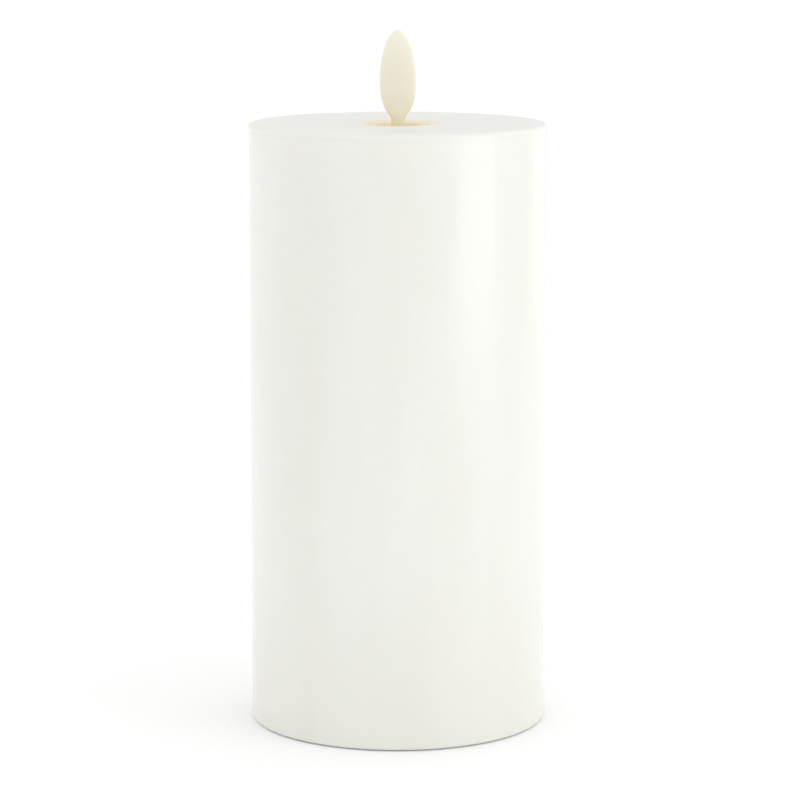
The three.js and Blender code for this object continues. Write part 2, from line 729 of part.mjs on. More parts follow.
// ---------------------------------------------------------------- feet
corners.forEach(([sx, sy], i) => {
  const pad = barZ(PAD.radius, 0, PLATE.bottom - GAP, sx * PAD.x, sy * PAD.y);
  place(`foot_pad_${i + 1}`, pad, padRubber);
});

export default candle;
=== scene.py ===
"""A flameless pillar candle: poured wax, a swaying flame, and the works and base inside it."""

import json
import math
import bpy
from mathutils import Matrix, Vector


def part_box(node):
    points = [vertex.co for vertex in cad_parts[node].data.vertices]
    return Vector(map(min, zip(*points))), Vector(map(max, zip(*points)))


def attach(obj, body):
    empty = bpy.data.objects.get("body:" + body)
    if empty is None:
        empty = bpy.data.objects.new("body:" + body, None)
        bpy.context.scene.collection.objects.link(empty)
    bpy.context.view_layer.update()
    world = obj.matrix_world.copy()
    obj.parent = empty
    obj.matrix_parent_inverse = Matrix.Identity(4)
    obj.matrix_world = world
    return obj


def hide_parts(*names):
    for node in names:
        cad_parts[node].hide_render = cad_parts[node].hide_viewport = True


bl_info = {
    "name": "Flameless Pillar Candle",
    "version": (1, 0, 0),
    "blender": (4, 5, 0),
    "location": "3D View > Sidebar > Candle",
    "description": "Models and finishes a battery-driven pillar candle round its packed frame",
    "category": "Add Mesh",
}

import bpy
from bpy.props import FloatProperty, FloatVectorProperty, PointerProperty
from bpy.types import Operator, Panel, PropertyGroup
from mathutils import Vector

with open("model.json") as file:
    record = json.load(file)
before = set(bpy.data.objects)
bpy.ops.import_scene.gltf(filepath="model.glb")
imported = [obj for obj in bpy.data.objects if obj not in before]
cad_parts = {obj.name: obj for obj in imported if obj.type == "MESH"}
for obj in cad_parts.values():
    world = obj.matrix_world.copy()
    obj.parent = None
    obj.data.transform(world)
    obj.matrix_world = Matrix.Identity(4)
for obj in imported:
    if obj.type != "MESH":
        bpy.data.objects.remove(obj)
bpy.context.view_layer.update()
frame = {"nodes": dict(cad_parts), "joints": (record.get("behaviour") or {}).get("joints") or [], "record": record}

MM = 0.001


def middle_of(node):
    low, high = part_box(node)
    return (low + high) / 2


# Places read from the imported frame, and the few sizes that more than one piece shares
WAX_LOW, WAX_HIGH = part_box("wax_shell")
FLAME_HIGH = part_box("flame")[1]
CUP_LOW, CUP_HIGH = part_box("flame_cup")
PLATE_LOW, PLATE_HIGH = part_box("base_plate")
DOOR_LOW, DOOR_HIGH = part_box("battery_door")
WAX_RADIUS = WAX_HIGH.x
WAX_TOP = WAX_HIGH.z
FLANGE_THICK = 1.4 * MM
GAP = 0.3 * MM
WAX_CEILING = CUP_LOW.z + FLANGE_THICK + GAP
PIVOT_Z = middle_of("pivot_wire").z
CELL_RADIUS = 16.6 * MM
CELL_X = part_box("battery_nub_down")[1].x - CELL_RADIUS
DOOR_RADIUS = DOOR_HIGH.x - CELL_X
DOOR_GAP = 0.5 * MM
PLATE_TOP = DOOR_HIGH.z
SKIRT_TOP = PLATE_LOW.z + 13.6 * MM
SCREW_X = middle_of("base_screw_1").x
SWITCH_Y = middle_of("switch_knob").y
HINGE = Vector(next(joint["pos_m"] for joint in frame["joints"] if joint["name"] == "door_hinge"))
LUGS_X = (-11 * MM, 11 * MM)


# ------------------------------------------------------------------ properties
def length(name, description, millimetres):
    shown = {"name": name, "description": description, "subtype": "DISTANCE", "unit": "LENGTH"}
    return FloatProperty(default=millimetres * MM, min=0, precision=5, **shown)


def colour(name, description, default):
    shown = {"name": name, "description": description, "subtype": "COLOR"}
    return FloatVectorProperty(default=default, min=0, max=1, size=3, **shown)


class CandleSizes(PropertyGroup):
    """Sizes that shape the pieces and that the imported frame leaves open"""

    wall: length("Wax wall", "Thickness of the poured wax wall", 6)
    rim_round: length("Rim rounding", "Radius of the wax's top edge", 1.1)
    foot_round: length("Foot rounding", "Radius of the wax's bottom edge", 1.0)
    dish_radius: length("Dish radius", "Radius at which the top starts to dip", 14.4)
    dish_depth: length("Dish depth", "How far the wax dips at the flame's hole", 0.9)
    hole_radius: length("Hole radius", "Radius of the hole that holds the cup", 9.3)
    unevenness: length("Unevenness", "How far the poured wax wanders from true", 0.14)
    blade_thickness: length("Flame thickness", "Thickness of the flame blade", 2.4)
    neck_width: length("Neck width", "Width of the flame's neck", 4.3)
    squareness: FloatProperty(
        name="Flame squareness",
        description="How full the flame's lower half is; 2 makes it an ellipse",
        default=2.2,
        min=2,
        max=4,
    )


class CandleColours(PropertyGroup):
    """Colours of the finishes"""

    wax: colour("Wax", "Ivory of the wax", (0.815, 0.822, 0.785))
    # The deep ivory also paints the shade towards the wax's foot
    wax_deep_and_foot_shade: colour("Wax, deep", "Warmer ivory in the wax's clouds", (0.770, 0.760, 0.690))
    flame: colour("Flame", "Warm white of the flame", (0.795, 0.780, 0.680))
    flame_foot: colour("Flame foot", "Tan of the flame's neck", (0.880, 0.810, 0.620))
    # The cup's beige is also laid into the wax round the hole as a painted glow
    cup: colour("Cup", "Beige of the liner round the flame", (0.860, 0.720, 0.490))
    base: colour("Base", "Ivory of the base and the door", (0.800, 0.780, 0.710))
    core: colour("Core", "Off-white of the core and the battery box", (0.770, 0.755, 0.700))
    board: colour("Board", "Green of the driver board's mask", (0.009, 0.066, 0.033))
    jacket: colour("Cell jacket", "Dark film round the cells", (0.030, 0.034, 0.042))
    jacket_band: colour("Cell band", "Metallic band of the cells' film", (0.620, 0.400, 0.130))


# ------------------------------------------------------------------ shader tools
class Value:
    """A number socket on which Python's arithmetic adds Math nodes"""

    def __init__(self, finish, socket):
        self.finish = finish
        self.socket = socket

    def math(self, operation, *others, first=None):
        values = [self if first is None else first, *others]
        return self.finish.number("ShaderNodeMath", {"operation": operation}, dict(enumerate(values)))

    def __add__(self, other):
        return self.math("ADD", other)

    def __sub__(self, other):
        return self.math("SUBTRACT", other)

    def __mul__(self, other):
        return self.math("MULTIPLY", other)

    def __rsub__(self, other):
        return self.math("SUBTRACT", self, first=other)

    def __gt__(self, other):
        return self.math("GREATER_THAN", other)

    def __lt__(self, other):
        return self.math("LESS_THAN", other)

    __radd__ = __add__

    def power(self, exponent):
        return self.math("POWER", exponent)

    def clamped(self):
        return self.math("MAXIMUM", 0).math("MINIMUM", 1)

    def between(self, low, high):
        """0 at low, 1 at high, and eased in between"""
        settings = {"interpolation_type": "SMOOTHSTEP"}
        inputs = {"Value": self, "From Min": low, "From Max": high}
        return self.finish.number("ShaderNodeMapRange", settings, inputs)


class Finish:
    """A material and the nodes that feed its shader"""

    def __init__(self, name):
        self.material = bpy.data.materials.new(name)
        self.material.use_nodes = True
        self.tree = self.material.node_tree
        self.shader = self.tree.nodes["Principled BSDF"]
        self.place = self.node("ShaderNodeTexCoord").outputs["Object"]

    def node(self, kind, settings=None, inputs=None):
        made = self.tree.nodes.new(kind)
        for name, value in (settings or {}).items():
            setattr(made, name, value)
        for name, value in (inputs or {}).items():
            self.feed(made.inputs[name], value)
        return made

    def feed(self, socket, value):
        if isinstance(value, Value):
            value = value.socket
        if isinstance(value, bpy.types.NodeSocket):
            self.tree.links.new(value, socket)
        elif socket.type == "RGBA":
            socket.default_value = (*value[:3], 1)
        else:
            socket.default_value = value

    def number(self, kind, settings=None, inputs=None, output=0):
        return Value(self, self.node(kind, settings, inputs).outputs[output])

    def set(self, **values):
        for name, value in values.items():
            self.feed(self.shader.inputs[name.replace("_", " ")], value)
        return self

    def axis(self, letter):
        parts = self.node("ShaderNodeSeparateXYZ", None, {0: self.place})
        return Value(self, parts.outputs[letter])

    def scaled(self, x, y, z):
        return self.node("ShaderNodeMapping", None, {"Vector": self.place, "Scale": (x, y, z)}).outputs[0]

    def noise(self, size, detail=3, roughness=0.5, place=None):
        """Clouds whose features are about this many metres across"""
        inputs = {"Vector": place or self.place, "Scale": 1 / size, "Detail": detail, "Roughness": roughness}
        return self.number("ShaderNodeTexNoise", None, inputs)

    def spots(self, size):
        """How far each place is from the nearest of many points, about this many metres apart"""
        return self.number("ShaderNodeTexVoronoi", None, {"Vector": self.place, "Scale": 1 / size})

    def blend(self, factor, first, second):
        """The first colour where the factor is 0, and the second where it is 1"""
        made = self.node("ShaderNodeMix", {"data_type": "RGBA"}, {0: factor, 6: first, 7: second})
        return made.outputs[2]

    def bump(self, height, depth, under=None):
        """A bump of this depth in metres, laid over another if one is given"""
        inputs = {"Height": height, "Distance": depth, "Strength": 1}
        if under is not None:
            inputs["Normal"] = under
        return self.node("ShaderNodeBump", None, inputs).outputs[0]


def shade(tone, factor):
    return tuple(min(1, channel * factor) for channel in tone)


# ------------------------------------------------------------------ finishes
def wax_finish(colours):
    """Poured wax: cloudy and faintly pitted, with painted shade towards the foot and on the top face, and a
    painted warm glow of the cup round the hole
    """
    finish = Finish("poured_wax")
    clouds = finish.noise(24 * MM, 3, 0.5, finish.scaled(1, 1, 0.22))
    mottle = finish.noise(7 * MM, 3, 0.5)
    pits = 1 - finish.spots(2.6 * MM).between(0.04, 0.16)
    rare = finish.noise(11 * MM, 1).between(0.56, 0.66)
    height = finish.axis("Z")
    # Painted shade: the wax is made darker and warmer towards its foot
    low = 1 - height.between(0, WAX_TOP * 0.35)
    across = (finish.axis("X").power(2) + finish.axis("Y").power(2)).power(0.5)
    painted_dish_glow = 1 - across.between(10.5 * MM, 14.6 * MM)
    painted_hole_glow = 1 - across.between(13 * MM, 24 * MM)
    on_top = height.between(WAX_TOP - 4 * MM, WAX_TOP - 1.5 * MM)
    side = 1 - height.between(WAX_TOP - 1.6 * MM, WAX_TOP - 0.3 * MM)
    # Mixes the wax's own clouds with the painted shade at the foot
    clouds_and_foot_shade = (clouds.between(0.3, 0.75) * 0.45 + low * 0.6 + mottle * 0.08).clamped()
    tone = finish.blend(clouds_and_foot_shade, colours.wax, colours.wax_deep_and_foot_shade)
    # Painted shade: the top face is made greyer and darker than the sides
    tone = finish.blend(on_top * 0.5, tone, (0.755, 0.760, 0.735))
    # Painted glow: the cup's beige laid into the wax of the dish, and faintly further out round the hole
    tone = finish.blend(on_top * (painted_dish_glow * 0.85 + painted_hole_glow * 0.08), tone, colours.cup)
    tone = finish.blend(pits * rare * 0.12, tone, shade(colours.wax_deep_and_foot_shade, 0.8))
    ripples = finish.bump(finish.noise(16 * MM, 2, 0.5, finish.scaled(1, 1, 0.4)), 0.12 * MM)
    grain = finish.bump(finish.noise(1.1 * MM, 3, 0.6), 0.006 * MM, under=ripples)
    skin = finish.bump(1 - pits * rare, 0.02 * MM, under=grain)
    smears = finish.noise(24 * MM, 3, 0.6, finish.scaled(1, 1, 0.35))
    return finish.set(
        Base_Color=tone,
        Roughness=smears.between(0.25, 0.8) * 0.08 + mottle * 0.05 + (1 - side) * 0.25 + 0.26,
        Normal=skin,
        Subsurface_Weight=0.45,
        Subsurface_Radius=(1.0, 0.72, 0.45),
        Subsurface_Scale=0.006,
        IOR=1.44,
        Coat_Weight=side * 0.9,
        Coat_Roughness=0.13,
        Coat_IOR=1.6,
    ).material


def flame_finish(colours):
    """Milky plastic, tan at the neck and greyer towards the tip, with fine flow lines"""
    finish = Finish("flame_plastic")
    height = finish.axis("Z")
    rise = height.between(WAX_TOP - 3 * MM, WAX_TOP + 7 * MM)
    cool = height.between(WAX_TOP + 16 * MM, WAX_TOP + 32 * MM)
    clouds = finish.noise(5 * MM, 3)
    tone = finish.blend(rise, colours.flame_foot, colours.flame)
    tone = finish.blend(cool * 0.6, tone, (0.82, 0.815, 0.76))
    tone = finish.blend(clouds * 0.14, tone, shade(colours.flame, 0.9))
    flow = finish.noise(1.6 * MM, 2, 0.5, finish.scaled(1, 1, 0.15))
    skin = finish.bump(flow, 0.012 * MM)
    return finish.set(
        Base_Color=tone,
        Roughness=finish.noise(3 * MM, 2) * 0.12 + 0.3,
        Normal=finish.bump(finish.noise(0.5 * MM, 2), 0.004 * MM, under=skin),
        Subsurface_Weight=0.6,
        Subsurface_Radius=(1.0, 0.75, 0.45),
        Subsurface_Scale=0.003,
        IOR=1.49,
    ).material


def moulded_finish(name, tone, roughness, depth=0.012 * MM, dirt=0.1, glow=0.0):
    """Moulded plastic with an eroded grain and a slight change of tone where it flowed"""
    finish = Finish(name)
    flow = finish.noise(22 * MM, 3, 0.55)
    speckle = finish.noise(0.35 * MM, 2, 0.6)
    marks = finish.noise(4 * MM, 4, 0.7).between(0.5, 0.85)
    body = finish.blend(flow, shade(tone, 1.03), shade(tone, 0.93))
    body = finish.blend(marks * dirt, body, shade(tone, 0.7))
    ripple = finish.bump(flow, 0.05 * MM)
    return finish.set(
        Base_Color=body,
        Roughness=speckle * 0.14 + marks * 0.06 + (roughness - 0.08),
        Normal=finish.bump(speckle, depth, under=ripple),
        Subsurface_Weight=glow,
        Subsurface_Radius=(1.0, 0.8, 0.5),
        Subsurface_Scale=0.003,
        IOR=1.5,
    ).material


def metal_finish(name, tone, roughness):
    """Plated metal with fine drawn scratches and a little tarnish in patches"""
    finish = Finish(name)
    tarnish = (0.30, 0.24, 0.18)
    lines = finish.noise(0.22 * MM, 3, 0.6, finish.scaled(1, 1, 0.06))
    patches = finish.noise(4.5 * MM, 4, 0.6).between(0.52, 0.8)
    body = finish.blend(lines, shade(tone, 1.04), shade(tone, 0.9))
    return finish.set(
        Base_Color=finish.blend(patches * 0.22, body, tarnish),
        Metallic=1 - patches * 0.1,
        Roughness=lines * 0.14 + patches * 0.14 + (roughness - 0.07),
        Normal=finish.bump(lines, 0.006 * MM),
    ).material


def insulation_finish(name, tone):
    """Soft wire insulation with faint rings from the extruder"""
    finish = Finish(name)
    rings = finish.noise(0.9 * MM, 2)
    wear = finish.noise(6 * MM, 3).between(0.45, 0.8)
    return finish.set(
        Base_Color=finish.blend(wear * 0.3, tone, shade(tone, 0.75)),
        Roughness=rings * 0.12 + 0.36,
        Normal=finish.bump(rings, 0.02 * MM),
        IOR=1.5,
    ).material


def rubber_finish(colours):
    finish = Finish("foot_rubber")
    crumb = finish.noise(0.4 * MM, 3, 0.6)
    tone = shade(colours.base, 0.92)
    return finish.set(
        Base_Color=finish.blend(crumb * 0.4, tone, shade(tone, 0.8)),
        Roughness=crumb * 0.1 + 0.78,
        Normal=finish.bump(crumb, 0.03 * MM),
    ).material


def winding_finish(name, tone):
    """Enamelled copper wire, darker in fine random streaks that run round the coil"""
    finish = Finish(name)
    strands = finish.noise(0.3 * MM, 2, 0.5, finish.scaled(0.3, 0.3, 1))
    return finish.set(
        Base_Color=finish.blend(strands, shade(tone, 1.15), shade(tone, 0.7)),
        Metallic=0.9 - strands * 0.15,
        Roughness=strands * 0.15 + 0.24,
        Normal=finish.bump(strands, 0.01 * MM),
        Coat_Weight=0.4 + strands * 0.1,
        Coat_Roughness=0.12,
    ).material


def board_finish(colours):
    """Solder mask over copper traces"""
    finish = Finish("driver_board_mask")
    turn = {"Vector": finish.place, "Rotation": (math.pi / 2, 0, 0)}
    inputs = {
        "Vector": finish.node("ShaderNodeMapping", None, turn).outputs[0],
        "Scale": 1 / (3.4 * MM),
        "Brick Width": 2.6,
        "Row Height": 0.42,
        "Mortar Size": 0.045,
        "Mortar Smooth": 0.3,
    }
    settings = {"offset": 0.37, "offset_frequency": 3, "squash": 0.55, "squash_frequency": 2}
    traces = finish.number("ShaderNodeTexBrick", settings, inputs, output=1)
    poured = finish.noise(9 * MM, 1).between(0.42, 0.5)
    tracks = traces * poured
    weave = finish.noise(0.3 * MM, 2)
    tone = finish.blend(tracks * 0.8, colours.board, shade(colours.board, 2.2))
    tone = finish.blend((1 - poured) * 0.5, tone, shade(colours.board, 1.5))
    return finish.set(
        Base_Color=finish.blend(weave * 0.25, tone, shade(colours.board, 0.6)),
        Roughness=weave * 0.12 + 0.28,
        Normal=finish.bump(tracks, 0.03 * MM),
        Coat_Weight=0.3 + weave * 0.1,
    ).material


def jacket_finish(colours):
    """The cells' film: a metallic band round the nub's end, the rest dark; the ends are bare steel"""
    finish = Finish("cell_jacket")
    across = ((finish.axis("X").math("ABSOLUTE") - CELL_X).power(2) + finish.axis("Y").power(2)).power(0.5)
    bare = 1 - across.between(15.6 * MM, 15.8 * MM)
    raised = finish.axis("X") < 0
    height = finish.axis("Z")
    nub_up = height > 56 * MM
    nub_down = height < 20 * MM
    band = raised * nub_up + (1 - raised) * nub_down
    scuff = finish.noise(2.2 * MM, 4, 0.65, finish.scaled(1, 1, 0.3))
    tone = finish.blend(band, colours.jacket, colours.jacket_band)
    tone = finish.blend(bare, tone, (0.62, 0.62, 0.63))
    return finish.set(
        Base_Color=finish.blend(scuff.between(0.55, 0.8) * 0.25, tone, (0.30, 0.29, 0.28)),
        Metallic=(band * 0.8 + bare).clamped() * 0.95,
        Roughness=scuff * 0.18 + 0.2,
        Normal=finish.bump(scuff, 0.01 * MM),
        Coat_Weight=0.5 - bare * 0.5,
    ).material


def lens_finish():
    """Clear warm epoxy, faintly cloudy"""
    finish = Finish("lamp_epoxy")
    haze = finish.noise(1.5 * MM, 2)
    return finish.set(
        Base_Color=finish.blend(haze, (0.98, 0.93, 0.76), (0.94, 0.86, 0.62)),
        Roughness=haze * 0.06 + 0.05,
        Normal=finish.bump(haze, 0.01 * MM),
        Transmission_Weight=0.75,
        IOR=1.53,
    ).material


def ferrite_finish():
    finish = Finish("ferrite")
    grit = finish.noise(0.25 * MM, 3, 0.6)
    return finish.set(
        Base_Color=finish.blend(grit, (0.052, 0.049, 0.046), (0.024, 0.023, 0.022)),
        Roughness=grit * 0.2 + 0.55,
        Normal=finish.bump(grit, 0.02 * MM),
    ).material


def floor_finish():
    """Seamless pale paper"""
    finish = Finish("pale_floor")
    fibre = finish.noise(3 * MM, 3)
    return finish.set(
        Base_Color=finish.blend(fibre, (0.97, 0.97, 0.97), (0.955, 0.955, 0.955)),
        Roughness=0.9,
        Emission_Color=(1, 1, 1),
        Emission_Strength=0.06,
        Normal=finish.bump(fibre, 0.02 * MM),
    ).material


FINISHES = {
    "wax": wax_finish,
    "flame_plastic": flame_finish,
    "cup_plastic": lambda c: moulded_finish("cup_plastic", c.cup, 0.38, dirt=0.03, glow=0.4),
    "core_plastic": lambda c: moulded_finish("core_plastic", c.core, 0.48),
    "base_plastic": lambda c: moulded_finish("base_plastic", c.base, 0.5, depth=0.02 * MM),
    "black_plastic": lambda c: moulded_finish("black_plastic", (0.014, 0.014, 0.015), 0.4, dirt=0.2),
    "capacitor_sleeve": lambda c: moulded_finish("capacitor_sleeve", (0.016, 0.018, 0.026), 0.26),
    "steel": lambda c: metal_finish("zinc_steel", (0.62, 0.63, 0.65), 0.34),
    "nickel": lambda c: metal_finish("nickel_plate", (0.69, 0.66, 0.61), 0.24),
    "copper": lambda c: winding_finish("copper_wire", (0.78, 0.34, 0.14)),
    "led_epoxy": lambda c: lens_finish(),
    "board": board_finish,
    "ferrite": lambda c: ferrite_finish(),
    "cell_jacket": jacket_finish,
    "red_lead": lambda c: insulation_finish("red_insulation", (0.47, 0.026, 0.018)),
    "black_lead": lambda c: insulation_finish("black_insulation", (0.018, 0.018, 0.019)),
    "white_lead": lambda c: insulation_finish("white_insulation", (0.76, 0.76, 0.73)),
    "pad_rubber": rubber_finish,
}
made_finishes = {}
SLOT_OF = {part["node"]: part["material_slot"] for part in frame["record"]["subparts"]}


def finish_for(slot):
    if slot not in made_finishes:
        made_finishes[slot] = FINISHES[slot](bpy.context.scene.candle_colours)
    return made_finishes[slot]


# ------------------------------------------------------------------ modelling tools
def deselect():
    if bpy.context.object and bpy.context.object.mode != "OBJECT":
        bpy.ops.object.mode_set(mode="OBJECT")
    bpy.ops.object.select_all(action="DESELECT")


def take(piece):
    """Makes a piece the only one selected, and the active one"""
    deselect()
    piece.select_set(True)
    bpy.context.view_layer.objects.active = piece


def named(name):
    piece = bpy.context.object
    piece.name = name
    piece.data.name = name
    return piece


def apply_place(piece):
    take(piece)
    bpy.ops.object.transform_apply(location=True, rotation=True, scale=True)


def lofted(name, sections, sides, centre=(0, 0)):
    """A ring of corners carried through sections of (X radius, Y radius, height)

    A section with no radius, at either end, closes the shape in a point. A last section that is
    the same as the first closes it on itself, and any other end is closed by a flat face.
    """
    looped = (Vector(sections[0]) - Vector(sections[-1])).length < 0.001 * MM
    if sections[0][0] == 0:
        sections = sections[::-1]
    last = sections[0]
    start = {"fill_type": "NOTHING" if looped else "NGON", "location": (*centre, last[2])}
    deselect()
    bpy.ops.mesh.primitive_circle_add(vertices=sides, radius=1, **start)
    piece = named(name)
    piece.scale = (last[0], last[1], 1)
    apply_place(piece)
    bpy.ops.object.mode_set(mode="EDIT")
    bpy.ops.mesh.select_all(action="SELECT")
    extrude = bpy.ops.mesh.extrude_edges_move if looped else bpy.ops.mesh.extrude_region_move
    for section in sections[1:]:
        extrude(TRANSFORM_OT_translate={"value": (0, 0, section[2] - last[2])})
        if section[0] == 0:
            bpy.ops.mesh.merge(type="CENTER")
            break
        growth = (section[0] / last[0], section[1] / last[1], 1)
        if growth != (1, 1, 1):
            bpy.ops.transform.resize(value=growth, center_override=(*centre, section[2]))
        last = section
    tidy(piece, 0.002 * MM)
    return piece


def tidy(piece, distance=0.005 * MM):
    """Merges doubles and turns every face outwards"""
    take(piece)
    bpy.ops.object.mode_set(mode="EDIT")
    bpy.ops.mesh.select_all(action="SELECT")
    bpy.ops.mesh.remove_doubles(threshold=distance)
    bpy.ops.mesh.normals_make_consistent(inside=False)
    bpy.ops.object.mode_set(mode="OBJECT")


def arc(radius, height, size, start, end, steps):
    """Points of a round stretch of an outline, in degrees from the outward direction"""
    angles = [math.radians(start + (end - start) * i / steps) for i in range(steps + 1)]
    return [(radius + size * math.cos(a), height + size * math.sin(a)) for a in angles]


def turned(name, outline, sides=64, centre=(0, 0)):
    """A piece turned on a lathe from an outline of (radius, height)"""
    return lofted(name, [(r, r, z) for r, z in outline], sides, centre)


def block(name, low, high):
    deselect()
    low, high = Vector(low), Vector(high)
    bpy.ops.mesh.primitive_cube_add(size=1, location=(low + high) / 2)
    piece = named(name)
    piece.scale = high - low
    apply_place(piece)
    return piece


def upright(name, centre, half, low, high):
    """A block round a point in plan, with half its size in X and Y, between two heights"""
    x, y = centre
    return block(name, (x - half[0], y - half[1], low), (x + half[0], y + half[1], high))


def bar(name, axis, radius, low, high, centre, sides=32):
    """A round bar along X, Y or Z whose middle line passes through the centre's other two numbers"""
    deselect()
    turn = {"X": (0, math.pi / 2, 0), "Y": (math.pi / 2, 0, 0), "Z": (0, 0, 0)}[axis]
    place = list(centre)
    place.insert("XYZ".index(axis), (low + high) / 2)
    bpy.ops.mesh.primitive_cylinder_add(
        vertices=sides, radius=radius, depth=high - low, location=place, rotation=turn
    )
    piece = named(name)
    apply_place(piece)
    return piece


def modify(piece, kind, **settings):
    take(piece)
    modifier = piece.modifiers.new(kind.title(), kind)
    for name, value in settings.items():
        setattr(modifier, name, value)
    bpy.ops.object.modifier_apply(modifier=modifier.name)
    return piece


def combine(piece, others, operation):
    for other in others:
        modify(piece, "BOOLEAN", operation=operation, object=other, solver="EXACT")
        bpy.data.objects.remove(other)
    return piece


def cut(piece, *tools):
    return combine(piece, tools, "DIFFERENCE")


def join(piece, *others):
    return combine(piece, others, "UNION")


def bevel(piece, width, segments=2, angle=35):
    settings = {"width": width, "segments": segments, "limit_method": "ANGLE"}
    return modify(piece, "BEVEL", angle_limit=math.radians(angle), use_clamp_overlap=True, **settings)


def smooth(piece, angle=32):
    take(piece)
    bpy.ops.object.shade_smooth_by_angle(angle=math.radians(angle))
    return piece


def present(piece, slot, body, *nodes):
    """Gives a piece its finish, its body and the nodes that it stands for"""
    piece.data.materials.clear()
    piece.data.materials.append(finish_for(slot))
    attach(piece, body)
    if nodes:
        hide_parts(*nodes)
    return piece


# ------------------------------------------------------------------ wax, cup and flame
class CANDLE_OT_wax_body(Operator):
    """Model the poured wax shell with its dished top and its soft edges"""

    bl_idname = "candle.wax_body"
    bl_label = "Wax Body"

    def execute(self, context):
        sizes = context.scene.candle_sizes
        foot, top = WAX_LOW.z, WAX_TOP
        inner = WAX_RADIUS - sizes.wall
        rim, toe, inner_edge = sizes.rim_round, sizes.foot_round, 0.6 * MM
        outline = [(inner, foot + inner_edge), (inner + inner_edge, foot)]
        outline += arc(WAX_RADIUS - toe, foot + toe, toe, -90, 0, 8)
        rise = top - rim - (foot + toe)
        outline += [(WAX_RADIUS, foot + toe + rise * i / 28) for i in range(1, 28)]
        outline += arc(WAX_RADIUS - rim, top - rim, rim, 0, 90, 7)
        flat = WAX_RADIUS - rim - sizes.dish_radius
        outline += [(WAX_RADIUS - rim - flat * i / 6, top) for i in range(1, 6)]
        slope, steps = sizes.dish_radius - sizes.hole_radius, 12
        for i in range(steps + 1):
            t = i / steps
            ease = t * t * (3 - 2 * t)
            outline.append((sizes.dish_radius - slope * t, top - sizes.dish_depth * ease))
        outline += [(sizes.hole_radius, WAX_CEILING), (inner, WAX_CEILING)]
        drop = WAX_CEILING - foot - inner_edge
        outline += [(inner, WAX_CEILING - drop * i / 8) for i in range(1, 9)]
        wax = turned("wax_body", outline, 192)
        clouds = bpy.data.textures.new("wax_wander", "CLOUDS")
        clouds.noise_scale = 45 * MM
        settings = {"texture": clouds, "strength": sizes.unevenness, "mid_level": 0.5}
        modify(wax, "DISPLACE", texture_coords="LOCAL", **settings)
        smooth(wax, 50)
        present(wax, "wax", "candle", "wax_shell")
        return {"FINISHED"}


class CANDLE_OT_flame_cup(Operator):
    """Model the beige liner round the flame, with its stem hole and its lamp window"""

    bl_idname = "candle.flame_cup"
    bl_label = "Flame Cup"

    def execute(self, context):
        outer = context.scene.candle_sizes.hole_radius - GAP
        lip, foot = CUP_HIGH.z, CUP_LOW.z
        flange, flange_top = CUP_HIGH.x, foot + FLANGE_THICK
        floor = WAX_CEILING + 2.2 * MM
        floor_below = floor - 1.4 * MM
        throat, stem_hole, skirt = 6.6 * MM, 4.5 * MM, 7.4 * MM
        lip_round, floor_round, edge = 0.4 * MM, 0.5 * MM, 0.2 * MM
        outline = [(skirt, foot), (flange, foot), (flange, flange_top), (outer, flange_top)]
        outline.append((outer, lip - lip_round))
        outline += arc(outer - lip_round, lip - lip_round, lip_round, 30, 90, 3)
        outline += [(outer - 0.55 * MM, lip), (throat + 0.3 * MM, lip - 1.35 * MM)]
        outline.append((throat, lip - 1.8 * MM))
        outline += arc(throat - floor_round, floor + floor_round, floor_round, 0, -90, 4)
        outline += [(stem_hole + edge, floor), (stem_hole, floor - edge), (stem_hole, floor_below)]
        outline += [(skirt, floor_below), (skirt, foot)]
        cup = turned("flame_cup_liner", outline, 96)
        window = bar("window", "Z", 2.85 * MM, floor - 3 * MM, floor + 0.5 * MM, (0, -3.6 * MM))
        smooth(cut(cup, window), 40)
        present(cup, "cup_plastic", "candle", "flame_cup")
        return {"FINISHED"}


